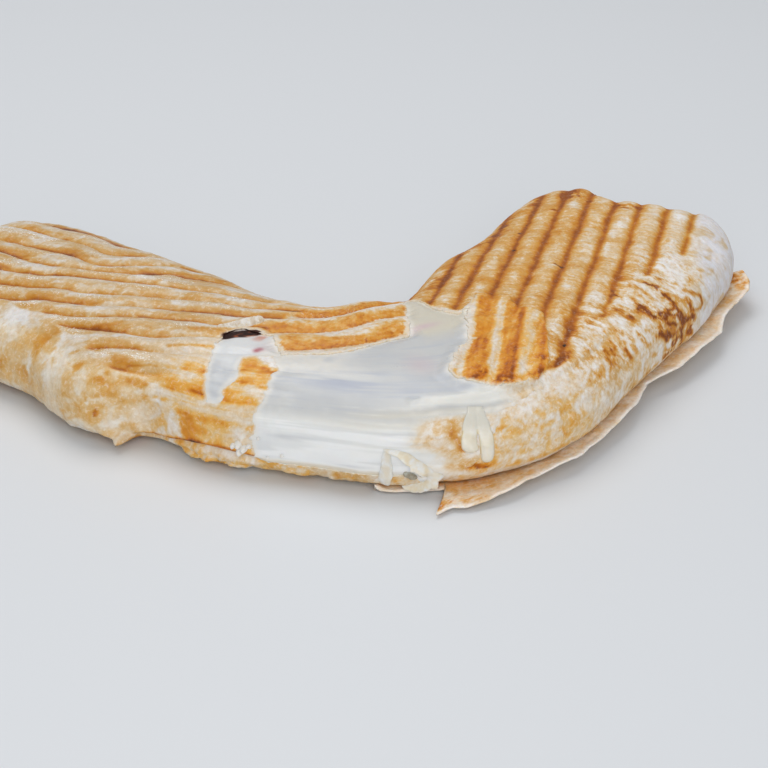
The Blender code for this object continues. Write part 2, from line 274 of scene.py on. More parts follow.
def line_distance(s, phi, knots):
    """Distance in mm to a line through (S, PHI) knots."""
    p = stack(s, phi * PHI_MM)
    line = np.array(knots, float) * (1, PHI_MM)
    best = np.full(s.shape, 1e9)
    for a, b in zip(line, [*line[1:], line[-1]]):
        d = b - a
        t = np.clip(((p - a) @ d) / max(d @ d, 1e-9), 0, 1)
        best = np.minimum(best, np.linalg.norm(p - a - t[..., None] * d, axis=-1))
    return best


def inside(s, phi, loop):
    """Which points lie inside a closed (S, PHI) outline."""
    found = np.zeros(s.shape, bool)
    low, high = loop.min(0), loop.max(0)
    box = (s > low[0]) & (s < high[0]) & (phi > low[1]) & (phi < high[1])
    ps, pp = s[box], phi[box]
    odd = np.zeros(ps.shape, bool)
    for (s0, p0), (s1, p1) in zip(loop, np.roll(loop, -1, 0)):
        if p0 != p1:
            crosses = (p0 > pp) != (p1 > pp)
            odd ^= crosses & (ps < s0 + (pp - p0) / (p1 - p0) * (s1 - s0))
    found[box] = odd
    return found


def outline_distance(s, phi, corners):
    """Distance in mm to a closed outline, negative inside."""
    away = line_distance(s, phi, [*corners, corners[0]])
    return np.where(inside(s, phi, np.array(corners, float)), -away, away)


def stroke(s, phi, knots, width):
    """1 on a line through (S, PHI) knots, fading over WIDTH mm."""
    return bell(line_distance(s, phi, knots), 0, width)


class Field:
    """Everything that shape and colour are worked out from, at each point of the skin."""

    def __init__(self, s, phi):
        self.s, self.phi = s, phi
        self.place, self.lat = body(s, phi)
        x, y, _ = np.moveaxis(self.place, -1, 0)
        self.along = 0.970 * x - 0.242 * y
        self.across = q = 0.242 * x + 0.970 * y
        far = grow(q, -2, 8)
        q = q - far * table(self.along, FAN)
        q += 1.6 * bell(self.along, -75, 14) * span(q, -32, 6, -6, 6)
        q -= 2.3 * bell(self.along, -82, 10) * bell(q, -32, 4)
        q += 2.3 * bell(self.along, -54, 9) * bell(q, -34, 4)
        q += 0.35 * noise(self.place, 16, 2, 1)
        self.left = np.interp(q, LEFT_LINES, np.arange(len(LEFT_LINES)))
        self.flap = outline_distance(s, phi, FLAP) + 0.25 * noise(self.place, 1.6, 2, 3)
        self.on_flap = smooth(-self.flap / 0.5 + 0.5)
        across = 0.974 * x - 0.225 * y - 11.94 + 0.25 * noise(self.place, 9, 2, 2)
        self.right = (across - 1.0 * self.on_flap) / PITCH
        self.strip = (self.lat - table(s, STRIP_LINE)) / 12
        self.on_strip = span(s, 117, 4, 190, 4) * grow(phi, 79, 3)
        self.on_left = s < ARMS_MEET
        lower = table(s, [(0, 48), (60, 50), (80, 46), (100, 32), (118, 6), (134, 6), (165, 45),
                          (184, 44), (200, 50), (222, 57), (240, 54), (262, 50), (301, 50)])
        lower += 5 * noise(self.place, 7, 2, 4)
        self.pressed = smooth((phi - lower) / 9) * smooth(s / 14) * smooth((LENGTH - s) / 9)
        last = np.round(self.right) >= 8
        self.pressed *= np.where(last, grow(s, 258, 6), 1)
        self.pressed *= np.round(self.right) < 9
        self.top = smooth(phi / 15) * fade(phi, 150, 25)


def valley(phase):
    """Distance to the nearest valley, in pitches."""
    return np.abs(phase - np.round(phase))


def relief(f):
    """Height of the skin over the smooth body."""
    vary = 1 + 0.3 * noise(f.place, 14, 2, 5)
    round_left = np.sqrt(valley(f.left) ** 2 + 0.05 ** 2)
    left = 1.05 * (1 - np.minimum(np.sin(np.pi * np.minimum(round_left, 0.5)), 1) ** 0.85) * vary
    left += 0.2 * bell(valley(f.left) * PITCH, 0, 0.6)
    right = 0.65 * bell(valley(f.right) * PITCH, 0, 1.7) * vary
    strip = 1.3 * (1 - np.abs(np.sin(np.pi * valley(f.strip))) ** 0.9)
    scrap = grow(f.s, 104, 14) * f.on_left
    depth = np.where(f.on_left, left * (1 - 0.65 * scrap), right)
    depth = depth * (1 - f.on_strip) + strip * f.on_strip
    rise = -depth * f.pressed * f.top
    rise += 1.1 * f.on_flap * np.where(f.s > 178, grow(f.phi, 40, 60) * .6 + .4, 1)
    shoulder = span(f.s, 160, 4, 214, 20)
    rise -= 0.6 * shoulder * span(f.phi, 4, 8, 46, 4)
    x, y = f.place[..., 0], f.place[..., 1]
    rise += 0.35 * np.sin(x / 5.3 + y / 9.1) * np.sin(y / 6.7 - x / 11) * f.top
    # wrinkles across the ridges, soft lumps and fine blisters
    ridge_p = stack(f.along, f.across, f.place[..., 2])
    rise += 0.10 * noise(ridge_p, (2.2, 9, 9), 3, 6) * f.on_left
    rise += 0.09 * noise(f.place @ TURN, (9, 1.7, 9), 3, 7) * ~f.on_left
    rise = rise + 0.22 * noise(f.place, 8, 2, 8) + 0.07 * noise(f.place, 1.5, 3, 9)
    # lower edge of the skin before the tear, and the layer that shows below it
    edge = f.phi - table(f.s, LOWER_EDGE)
    run = span(f.s, 102, 5, 133, 3)
    rise += run * (0.35 * bell(edge, 0.5, 2.0) - 1.3 * bell(edge, -5.0, 3.2))
    tray = span(f.s, 116, 5, 162, 4) * bell(edge, -17, 9)
    rise += tray * (0.5 + 0.6 * noise(f.place, 4, 3, 10))
    # folds above the torn tip of the left arm, and the hollow beside it
    rise -= 1.1 * bell(f.s, 107, 5) * bell(f.phi, -4, 11)
    rise += 0.5 * bell(f.s, 98.5, 1.6) * fade(f.phi, 12, 20)
    return rise


# Torn tips as (s, phi, width in mm, height in degrees, reach)
TORN_TIPS = [(100.6, -30, 1.5, 8, 6.2), (98.2, -20, 1.8, 6, 1.2), (86.5, -26, 2.4, 6, 1.2)]
LOWER_EDGE = [(99, -30), (105, -19), (111, -15), (118, -7), (126, -5), (133, -9), (140, -11),
              (150, -8), (162, -10)]

# Turns plan coordinates so that the first axis runs across the right arm's ridges
TURN = np.array([[0.974, 0.225, 0], [-0.225, 0.974, 0], [0, 0, 1.0]])


def skin_point(f):
    """Place of each point of the skin, with ridges, torn tips and the loose flake."""
    rise = relief(f) * smooth(f.place[..., 2] / 4)
    point = f.place + outward(f.s, f.phi) * rise[..., None]
    # torn points of skin that hang down to the plate under the left arm
    for s, phi, wide, high, reach in TORN_TIPS:
        away = reach * bell(f.s, s, wide) * bell(f.phi, phi, high)
        point[..., :2] -= np.array([0.25, 0.97]) * away[..., None]
    # the lower layer comes loose before the tear
    flake = span(f.s, 114.5, 5, 129.6, 1.2) + 0.22 * grow(f.s, 129, 2)
    flake = flake * fade(f.s, 160, 6) * bell(f.phi, -33, 7)
    ragged = 0.8 + 0.7 * noise(stack(f.s, f.phi * 0.3, 0), (2.6, 4, 1), 3, 9)
    point[..., :2] -= spine(f.s)[2] * (3.4 * flake * ragged)[..., None]
    return point


# ---------------------------------------------------------------- rims of the tears

def run_along(places):
    """Distance along a line of points, at each of them."""
    return np.append(0, np.cumsum(np.linalg.norm(np.diff(places, axis=0), axis=1)))


def rim(rows, seed):
    """Closed, ragged outline of a tear as (S, PHI), a point every 0.2 mm."""
    phi, start, end = np.array(rows, float).T
    fine = np.linspace(phi[0], phi[-1], 400)
    one = stack(np.interp(fine, phi, start), fine)
    two = stack(np.interp(fine, phi, end), fine)[::-1]
    low = stack(np.linspace(end[0], start[0], 60), phi[0])
    high = stack(np.linspace(start[-1], end[-1], 30), phi[-1])
    loop = np.concatenate([one, high[1:-1], two, low[1:-1], one[:1]])
    run = run_along(body(*loop.T)[0])
    even = np.arange(0, run[-1], 0.2)
    loop = stack(*(np.interp(even, run, axis) for axis in loop.T))
    place = body(*loop.T)[0]
    loop[:, 0] += 0.45 * noise(place, 3.5, 3, seed) + 0.2 * noise(place, 1.1, 2, seed + 2)
    loop[:, 1] += 0.75 * noise(place, 3.5, 3, seed + 1) + 0.5 * noise(place, 1.1, 2, seed + 3)
    return loop


RIMS = [rim(TEAR, 20), rim(GAP, 24)]


def torn_open(s, phi):
    """Which points lie in the tear or the gap."""
    return inside(s, phi, RIMS[0]) | inside(s, phi, RIMS[1])


def nearest_rim(place, limit=9.0):
    """Distance to the nearest rim point and that point's (S, PHI)."""
    params = np.concatenate(RIMS)
    points = body(*params.T)[0]
    tree = kdtree.KDTree(len(points))
    for i, p in enumerate(points):
        tree.insert(p, i)
    tree.balance()
    low, high = points.min(0) - limit, points.max(0) + limit
    flat = place.reshape(-1, 3)
    gap = np.full(len(flat), limit)
    which = np.zeros(len(flat), int)
    near = np.all((flat > low) & (flat < high), axis=1).nonzero()[0]
    for i in near:
        _, k, d = tree.find(flat[i])
        gap[i], which[i] = min(d, limit), k
    shape = place.shape[:-1]
    return gap.reshape(shape), params[which].reshape(shape + (2,))


# ---------------------------------------------------------------- meshes

# the last layer places white specks painted as highlights on the glaze
LAYERS = ("gloss", "crumb", "marble", "painted_glint")


def new_object(name, data):
    made = bpy.data.objects.new(name, data)
    bpy.context.scene.collection.objects.link(made)
    return made


def make_piece(name, points, faces, colours, node, material, normals=None, **layers):
    """Mesh piece with its own colour and gloss at each point, in place of a CAD node."""
    used = np.unique(np.concatenate([np.ravel(face) for face in faces]))
    renumber = np.full(len(points), -1)
    renumber[used] = np.arange(len(used))
    mesh = bpy.data.meshes.new(name)
    mesh.from_pydata(((points[used] - ORIGIN) * MM).tolist(), [],
                     [renumber[face].tolist() for face in faces])
    tint = mesh.attributes.new("tint", "FLOAT_COLOR", "POINT")
    rgba = np.append(linear(colours[used]), np.ones((len(used), 1)), 1)
    tint.data.foreach_set("color", rgba.astype(np.float32).ravel())
    for label in LAYERS:
        layer = mesh.attributes.new(label, "FLOAT", "POINT")
        values = np.broadcast_to(layers.get(label, 0), len(points))
        layer.data.foreach_set("value", values[used].astype(np.float32))
    mesh.polygons.foreach_set("use_smooth", [True] * len(mesh.polygons))
    if normals is not None:
        mesh.normals_split_custom_set_from_vertices(normals[used].tolist())
    mesh.materials.append(material)
    made = new_object(name, mesh)
    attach(made, "root")
    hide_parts(node)
    return made


def grid_quads(rows, columns):
    """Faces of a grid that closes on itself across its columns."""
    i, j = np.meshgrid(np.arange(rows - 1), np.arange(columns), indexing="ij")
    here, beside = i * columns + j, i * columns + (j + 1) % columns
    return stack(here, here + columns, beside + columns, beside).reshape(-1, 4)


def cap(row, columns, centre):
    """Triangles that close a row of such a grid round the point CENTRE."""
    ring = row * columns + np.arange(columns)
    after = np.roll(ring, -1)
    one, two = (after, ring) if row else (ring, after)
    return stack(one, two, centre).tolist()


def sheet_faces(rows, columns):
    """Faces of a thin sheet whose rows go out along one side and back along the other."""
    faces = grid_quads(rows, columns).tolist()
    for row in (0, rows - 1):
        ids = (row * columns + np.arange(columns)).tolist()
        for k in range((columns - 1) // 2):
            face = list(dict.fromkeys([ids[k], ids[k + 1], ids[-2 - k], ids[-1 - k]]))
            faces.append(face if row else face[::-1])
    return faces


def vertex_normals(points, faces):
    a, b, c, d = (points[faces[:, n]] for n in range(4))
    total = np.zeros_like(points)
    for n in range(4):
        np.add.at(total, faces[:, n], np.cross(c - a, d - b))
    return unit(total)


# ---------------------------------------------------------------- materials

def material(name, roughness, bump, grain, subsurface=0.0, radius=(1.0, 0.6, 0.35)):
    """Principled shader driven by the tint and the LAYERS that each point carries."""
    made = bpy.data.materials.new(name)
    made.use_nodes = True
    tree = made.node_tree

    def fill(node, inputs):
        """Give each named input its number or colour, or join it to another node's output."""
        for key, value in inputs.items():
            if isinstance(value, bpy.types.NodeSocket):
                tree.links.new(value, node.inputs[key])
            else:
                node.inputs[key].default_value = value

    def add(kind, out, inputs=None, **settings):
        node = tree.nodes.new("ShaderNode" + kind)
        for key, value in settings.items():
            setattr(node, key, value)
        fill(node, inputs or {})
        return node.outputs[out]

    def texture(size, detail, **more):
        return add("TexNoise", "Fac", {"Vector": coords, "Scale": 1 / (size * MM),
                                       "Detail": detail, **more})

    def ranged(value, low, high, to_low, to_high):
        return add("MapRange", "Result", {"Value": value, "From Min": low, "From Max": high,
                                          "To Min": to_low, "To Max": to_high})

    def maths(operation, *values, use_clamp=False):
        return add("Math", "Value", dict(enumerate(values)), operation=operation,
                   use_clamp=use_clamp)

    def times(one, two):
        return maths("MULTIPLY", one, two, use_clamp=True)

    def blend(one, two, amount, kind="MIX"):
        return add("Mix", "Result", {"Factor": amount, "A": one, "B": two},
                   data_type="RGBA", blend_type=kind)

    coords = add("TexCoord", "Object")
    tint = add("Attribute", "Color", attribute_name="tint")
    gloss, crumb, marble, painted_glint = (add("Attribute", "Fac", attribute_name=label)
                                   for label in LAYERS)
    fine = texture(grain, 5, Roughness=0.62)
    speck = texture(0.45, 2)

    # fine mottling over the painted colour: flour marks, toasted marks and white specks painted as
    # glints of light on the glaze
    marks = texture(1.0, 4, Roughness=0.6, Distortion=0.8)
    flour = times(ranged(marks, 0.52, 0.72, 0, 1), marble)
    toast = times(ranged(marks, 0.48, 0.28, 0, 1), marble)
    darker = blend(tint, (0.86, 0.66, 0.42, 1), 1.0, "MULTIPLY")
    tone = blend(tint, (*linear((246, 240, 232)), 1), flour)
    tone = blend(tone, darker, toast)
    tone = blend(tone, ranged(fine, 0.3, 0.7, 1 - 0.23 * bump, 1 + 0.14 * bump), 1.0, "MULTIPLY")
    # painted highlights: white specks that stand in for glints of light on the glaze
    tone = blend(tone, (1.0, 0.99, 0.97, 1), times(ranged(speck, 0.60, 0.66, 0, 1), painted_glint))

    # bump: grain, with deeper pits where the crumb is torn open
    height = maths("MULTIPLY", fine, maths("MULTIPLY_ADD", crumb, 1.6, 1.0))
    coarse = add("Bump", "Normal", {"Strength": bump, "Distance": 0.4 * MM, "Height": height})
    uneven = ranged(speck, 0.3, 0.7, roughness - 0.25 * bump, roughness + 0.3 * bump)
    shader = tree.nodes["Principled BSDF"]
    fill(shader, {
        "Base Color": tone, "IOR": 1.42, "Specular IOR Level": 0.3 if bump > 0.1 else 0.45,
        "Roughness": maths("SUBTRACT", uneven, gloss, use_clamp=True),
        "Normal": add("Bump", "Normal", {"Strength": bump * 0.5, "Distance": 0.12 * MM,
                                         "Height": speck, "Normal": coarse})})
    if subsurface:
        fill(shader, {"Subsurface Weight": subsurface, "Subsurface Radius": radius,
                      "Subsurface Scale": 1.6 * MM})
    return made


# ---------------------------------------------------------------- the skin

def stations():
    """Distances along the wrap, closer together at the ends and round the tear."""
    step = 0.44
    turn = 0.30
    tip = 5.0 * (1 - np.cos(np.linspace(0, np.pi / 2, 22)))
    return np.concatenate([tip[:-1], np.arange(5, 106, step), np.arange(106, 204, turn),
                           np.arange(204, LENGTH - 5, step), LENGTH - tip[::-1]])


def section_phis(sections, angles, steps):
    """PHIs as far apart as STEPS says at ANGLES, in mm on the mean of these sections."""
    fine = np.linspace(-95, 265, 7200)
    run = 0
    for s in sections:
        place = body(np.full(fine.shape, s), fine)[0]
        run += np.linalg.norm(np.diff(place, axis=0), axis=1) / len(sections)
    wide = np.interp((fine[1:] + fine[:-1]) / 2, angles, steps)
    count = np.append(0, np.cumsum(run / wide))
    return np.interp(np.linspace(0, count[-1], int(count[-1]) + 1)[:-1], count, fine)


def veins(points, size, seed):
    """Thin bright lines where a noise crosses zero, 0 to 1."""
    return 1 - smooth(np.abs(noise(points, size, 3, seed)) / 0.22)


def left_toast(f):
    """Toast of the left arm's grilled top: golden flanks, pale crests, dark creases."""
    phase = f.left - np.floor(f.left)
    ridge_p = stack(f.along, f.across, f.place[..., 2])
    streak = noise(ridge_p, (12, 2.0, 9), 4, 35, 0.62)
    heat = noise(ridge_p, (22, 6, 9), 3, 36)
    patch = noise(ridge_p, (9, 4, 9), 3, 52)
    behind = grow(phase, 0.90, 0.10)
    flank = np.maximum(1 - smooth((phase - 0.04) / (0.60 + 0.25 * heat)), behind)
    level = 0.22 + 0.10 * streak + 0.05 * f.tiny + 0.22 * flank * (0.85 + 0.6 * heat)
    level += 0.10 * flank * np.exp(-np.minimum(phase, 1 - phase) / 0.14)
    level += 0.13 * grow(patch, 0.15, 0.5)
    level -= 0.15 * grow(noise(f.bent, (7, 4, 7), 3, 54), 0.05, 0.45)
    level += 0.20 * bell(valley(f.left) * PITCH, 0, 0.6) * smooth(0.75 + heat)
    return level, phase


def right_toast(f):
    """Toast of the right arm's grilled top: bars with orange flanks, pale pillows between."""
    across_p = f.place @ TURN
    r = valley(f.right) * PITCH + 0.3 * f.tiny
    wrinkle = noise(across_p, (6, 0.8, 9), 4, 37, 0.65)
    floury = smooth((f.right - 6.4 + f.wide) / 2.4)
    far = grow(f.right, 3.2, 3)
    width = 2.1 - 0.4 * far + 0.5 * noise(across_p, (3, 9, 9), 2, 55)
    flank = bell(r, 0, width)
    core = bell(r, 0, 0.88 + 0.25 * noise(across_p, (2, 5, 9), 2, 56))
    pale = grow(noise(across_p, (5, 12, 9), 3, 58), -0.35, 0.7)
    level = 0.42 - 0.12 * far + 0.15 * wrinkle + 0.10 * f.mid - 0.09 * pale - 0.12 * floury
    level -= 0.13 * grow(noise(f.bent, (2.2, 4, 3), 4, 59, 0.7), 0.05, 0.4)
    level += (0.62 - level) * flank * (0.85 + 0.25 * f.mid) * (1 - 0.2 * floury)
    level += (0.78 - 0.05 * far + 0.06 * f.mid - level) * core * (1 - 0.15 * floury)
    return level, r, core


def paint_skin(f, near):
    """Display colour, gloss, crumb, marbling and painted glints of each point of the skin."""
    s, phi, p = f.s, f.phi, f.place
    wide, mid, tiny = noise(p, 14, 3, 30), noise(p, 5, 3, 31), noise(p, 1.2, 3, 32, 0.6)
    bent = p + 2.4 * three_noises(p)
    f.wide, f.mid, f.tiny, f.bent = wide, mid, tiny, bent
    foam = noise(bent, 2.2, 4, 60, 0.65)
    flat = stack(s, phi * PHI_MM, 0)
    warped = flat + 1.6 * stack(noise(p, 4, 3, 61), noise(p, 4, 3, 62), 0)
    fibre = noise(warped, (1.7, 7, 1), 4, 63, 0.62)

    # plain dough of the left side: pale, golden translucent stains, white veins from the tip
    level = 0.14 + 0.06 * mid + 0.05 * foam
    level += 0.17 * grow(noise(bent, 11, 4, 33), -0.05, 0.6)
    level += 0.15 * grow(noise(bent, 6, 4, 34), 0.1, 0.5)
    for knots, width, amount in STAINS:
        level += amount * stroke(warped[..., 0], warped[..., 1] / PHI_MM, knots, width)
    x, y = s - 98.5, phi * PHI_MM + 20
    away = np.hypot(x, y)
    rays = veins(stack(np.arctan2(y, x) * 9, away / 5, 0) + 0.1 * bent, 1.5, 46)
    level = level - 0.12 * rays * np.exp(-away / 22) + 0.06 * fade(phi, 12, 12)
    level -= 0.13 * grow(noise(bent, 7, 4, 47, 0.6), 0.05, 0.4)

    # right arm's side: floury foam with a net of golden lines
    net = veins(bent, 4.4, 48) * grow(noise(p, 9, 2, 49), -0.5, 0.7)
    crumbly = noise(p + 0.4 * (bent - p), 1.5, 3, 51, 0.7)
    side = 0.12 + 0.06 * foam + 0.12 * crumbly + 0.05 * mid + 0.12 * net * (0.8 + 0.8 * tiny)
    side += 0.13 * grow(noise(bent, 7, 4, 51, 0.6), 0.15, 0.4)
    side += 0.10 * bell(phi, 2, 12) * fade(s, 200, 15)
    # streaky marbling where the grill marks run out at the front
    marbled = span(s, 178, 14, 268, 20) * span(phi, 2, 20, 78, 14)
    side += marbled * (0.20 * smooth(fibre / 0.5) - 0.12 * smooth(-fibre / 0.4))
    level += (side - level) * grow(s, ARMS_MEET, 18)

    left, phase = left_toast(f)
    scrap = grow(s, 97, 12)
    lines = noise(flat, (4, 1.1, 1), 4, 64, 0.65)
    near_tear = bell(phi, 66, 8) * (s > 120) + bell(phi, 51, 5.5) * grow(s, 112, 3)
    near_tear += 0.9 * bell(phi, 33, 7) * grow(s, 98, 16)
    near_tear = 0.19 + 0.11 * lines + 0.05 * mid + 0.32 * near_tear * (0.85 + 0.8 * mid)
    left += (near_tear - left) * scrap * fade(phi, 79, 5)

    right, r, core = right_toast(f)
    marks = 0.16 * smooth(fibre / 0.5) - 0.20 * smooth(-fibre / 0.4)
    right += marbled * marks * (1 - core)

    # strip behind the tear: broad orange ridges with pale, fibrous crests
    strip_f = f.strip - np.floor(f.strip)
    across_p = stack(s, f.lat, p[..., 2])
    grain = noise(across_p, (7, 1.0, 4), 4, 57, 0.65)
    strip = 0.20 + 0.12 * grain + 0.30 * smooth((0.62 - strip_f + 0.25 * mid) / 0.35)
    strip += 0.12 * noise(across_p, (1.1, 0.7, 1), 3, 76, 0.7)
    strip += 0.06 * smooth((0.40 - strip_f + 0.25 * mid) / 0.3)
    strip -= 0.10 * grow(noise(bent, 4, 3, 65), 0.1, 0.4)
    strip += 0.10 * bell(valley(f.strip) * 12, 0, 0.6)

    # flap: orange bands with white ones between, browned at its lower corner
    across = f.right + 0.0125 * (p @ TURN[:, 1] + 26) + 0.03 * mid + 0.02 * tiny
    flap = np.interp(across, [1.5, 1.85, 2.0, 2.2, 2.6, 2.72, 2.9, 3.02, 3.35, 3.45, 3.55, 3.65,
                              4.05, 4.2, 4.33, 4.5, 4.7],
                     [.10, .16, .47, .58, .46, .18, .20, .50, .56, .68, .54, .28,
                      .30, .48, .70, .44, .24])
    flap = flap + 0.02 + 0.08 * grain + 0.06 * tiny
    flap += 0.17 * noise(p @ TURN, (1.2, 8, 8), 3, 66)
    low = fade(phi, 68, 6) * fade(s, 177, 5)
    flap += 0.12 * low * smooth(0.6 + mid + tiny)

    grilled = np.where(f.on_left, left, right)
    grilled += (strip - grilled) * f.on_strip
    on_flap = f.on_flap * fade(s, 204, 8)
    grilled += (flap - grilled) * on_flap
    pressed = np.maximum(f.pressed * f.top, on_flap)
    rear = span(phi, 92, 10, 160, 9) * grow(s, 172, 8)
    pressed = np.maximum(pressed, rear * (f.right < 8.6))
    level += (grilled - level) * smooth(pressed * 1.4)
    spots = grow(noise(p, (5, 3, 5), 3, 53), 0.02, 0.3)
    level += 0.20 * rear * bell(phi, 140, 10) * spots
    for knots, width, amount in BANDS:
        line = stroke(s + 0.8 * tiny, phi + 1.2 * tiny, knots, width)
        level += amount * line * (0.85 + 0.35 * tiny)

    # floury right end with faint arcs of wrinkles
    end = smooth((s - 258 + 8 * wide) / 18) * fade(phi, 66, 22)
    end = np.maximum(end, smooth((f.right - 8.0 + 0.9 * wide) / 0.9) * grow(s, 236, 12))
    arc = veins(stack(s, phi * 0.22, p[..., 2]), (3.5, 12, 12), 59)
    white = 0.04 + 0.08 * arc + 0.08 * foam + 0.20 * grow(noise(bent, 7, 3, 67), 0.3, 0.4)
    bars = bell(r, 0, 1.6) * f.pressed
    level += (white - level) * end * (1 - 0.9 * bars)

    # caramel swirls at the front of the right arm
    warp_s = s + 1.8 * noise(p, 4, 3, 40)
    warp_phi = phi + 3.0 * noise(p, 4, 3, 41)
    blotch = smooth(0.85 + 1.5 * noise(p + 0.5 * (bent - p), 2.6, 4, 42, 0.6))
    scorch = grow(noise(bent, 3.2, 4, 72, 0.62), -0.05, 0.35)
    level += 0.22 * bell(s, 231, 15) * bell(phi, 22, 26) * scorch
    for knots, width, amount in SWIRLS:
        level += amount * blotch * stroke(warp_s, warp_phi, knots, 1.15 * width)
    level = np.minimum(level, 0.84)
    for at, phi_at, size, amount in SPECKS:
        ragged = 0.9 * size * (tiny + 0.5 * mid)
        spot = stroke(s + ragged, phi + 1.6 * ragged, [(at, phi_at)], size)
        level += amount * smooth(spot * 1.3)
    level = np.where(s > 280, np.minimum(level, 0.80), level)

    # underside: toasted from the grill's lower plate
    under = fade(phi, -24, 20) + grow(phi, 196, 16)
    bars = bell(valley(np.where(f.on_left, f.left, f.right)) * PITCH, 0, 1.6)
    below = 0.36 + 0.14 * mid + 0.05 * tiny + bars * (0.34 + 0.1 * mid)
    level += (below - level) * under

    # torn rims: open white crumb
    torn = smooth((0.7 - near + 0.5 * tiny) / 0.7)
    wide_torn = (s > 160) * (phi > 66) * (phi < 104)
    torn = np.maximum(torn, smooth((1.9 - near + 0.9 * tiny) / 0.9) * wide_torn)
    strip_edge = (s > 124) * (s < 166) * (phi > 78) * (phi < 100)
    torn = np.maximum(torn, smooth((1.7 - near + 1.1 * tiny) / 0.8) * strip_edge)
    level += (0.10 + 0.08 * tiny - level) * 0.85 * torn
    edge = phi - table(s, LOWER_EDGE)
    tray = fade(edge, -1.5, 1.5) * span(s, 104, 5, 166, 3)
    level += (0.25 + 0.2 * mid + 0.16 * tiny - level) * tray * 0.9
    # brown line along the skin's lower edge: partly the edge's own toast, partly painted shade
    # that deepens the gap above the loose flake
    edge_brown_and_gap_shade = bell(edge + 0.8 * tiny, 0.0, 1.7) * span(s, 103, 6, 164, 6)
    level += edge_brown_and_gap_shade * (0.52 + 0.2 * mid)

    shaded = 0.065 * fade(s, 116, 14) * (0.1 + 0.9 * grow(phi, 30, 14))
    colour = toasted(np.clip(level, 0, 1)) * (1 - shaded)[..., None]
    # raw dough is pinkish on the right end, yellowish and translucent on the left side
    rosy = grow(s, 225, 40) * end
    yellow = fade(s, 112, 10) * fade(phi, 46, 12) * grow(phi, -30, 20)
    warm = np.maximum(on_flap, grow(s, 106, 8) * fade(phi, 79, 5) * (s < 140))
    warm = np.maximum(warm, 0.45 * f.on_strip)
    warm = np.maximum(warm, 0.7 * span(s, 150, 8, 190, 8) * (phi < 26))
    warm *= grow(level, 0.2, 0.2)
    for shift, amount in (((-0.045, -0.03, 0.01), rosy), ((0.0, -0.005, -0.03), yellow),
                          ((0.055, 0.018, -0.16), warm)):
        colour *= 1 + np.array(shift) * amount[..., None]
    # dark slit under the fold: painted near-black on the skin
    slit = smooth(stroke(s, phi, DARK_SLIT_LINE, 1.0) * 2.4 - 0.7) * (near < 1.2)
    colour = mix(colour, (70, 36, 24), slit)
    gloss = 0.20 * f.on_left + 0.06 * tiny - 0.4 * slit
    marble = np.where(f.on_left, 0.42, 0.5) + 0.2 * marbled - 0.2 * end
    marble = marble * (1 - 0.75 * grow(level, 0.36, 0.2)) * (1 - 0.5 * f.on_strip)
    # painted glints: white specks along the left arm's ridge crests, in place of highlights on its
    # oily glaze
    painted_glint = grow(noise(p, 7, 2, 68), -0.02, 0.3) * grow(phase, 0.3, 0.2)
    painted_glint = painted_glint * f.on_left * f.pressed * (1 - 0.7 * scrap)
    return colour, gloss, torn, marble, painted_glint


# Near-black paint of the dark slit under the fold at the left of the tear, and the line it follows
SLIT_DARK = (44, 22, 16)
DARK_SLIT_LINE = [(112.6, 87.5), (115, 90.3), (118.3, 93)]
# Rolled rim of a tear as steps (out over the tear, down under the skin)
RIM_ROLL = [(0.10, 0.05), (0.18, 0.22), (0.14, 0.5), (0.0, 0.8), (-0.8, 1.3), (-3.0, 1.5)]

# Darker places as ((S, PHI) line, width in mm, amount of toast)
STAINS = [
    ([(78, 40), (93, 50), (108, 62)], 3.0, 0.10), ([(101, 40), (108, 34)], 2.6, 0.16),
    ([(96, 25), (107, 23)], 3.2, 0.22), ([(100, 12), (104, 7)], 3.0, 0.20),
    ([(85, 3), (91, 1)], 3.0, 0.12), ([(64, -4), (76, -2)], 3.0, 0.12),
    ([(120, -6), (132, -4)], 2.5, 0.10), ([(88, 32), (94, 40)], 3.0, 0.14),
]
BANDS = [
    ([(104, 65), (110, 71), (115, 76)], 0.8, 0.30), ([(101, 41), (108, 44), (119, 50)], 0.9, 0.16),
    ([(112, 26), (120, 29)], 1.2, 0.22), ([(107, 12), (113, 14)], 1.1, 0.22),
    ([(124.5, 60), (131.5, 61)], 0.8, 0.16), ([(118, 52), (124, 50), (131, 46)], 0.8, 0.24),
    ([(119, 31), (124, 29), (130.5, 28)], 1.1, 0.22), ([(117, 9), (129.5, 8)], 2.3, 0.24),
    ([(104, 84), (112, 88)], 1.4, 0.16), ([(117, 97), (121, 99), (126, 96)], 2.4, 0.06),
    ([(127, 78), (131, 72), (131.5, 66)], 1.1, -0.40),
    ([(166, 60), (175, 50), (183, 50), (190, 52)], 1.4, 0.26),
    ([(193, 46), (196, 34), (194, 14)], 1.1, 0.18), ([(196, 62), (205, 57), (214, 54)], 1.8, 0.20),
    ([(183, 60), (188, 48)], 1.1, 0.26), ([(162, -3), (166, -4)], 1.6, 0.36),
    ([(169, 17), (172, 12)], 1.2, 0.24), ([(171, -9), (176, -11), (180, -8)], 2.4, 0.22),
    ([(184, -10), (192, -12), (199, -10)], 2.6, 0.20),
    ([(200, 0), (206, -8), (214, -6)], 2.2, 0.18),
    ([(176, 22), (181, 16), (186, 24)], 1.6, 0.16), ([(164, -2), (166, -5), (168, -4)], 0.8, 0.22),
]
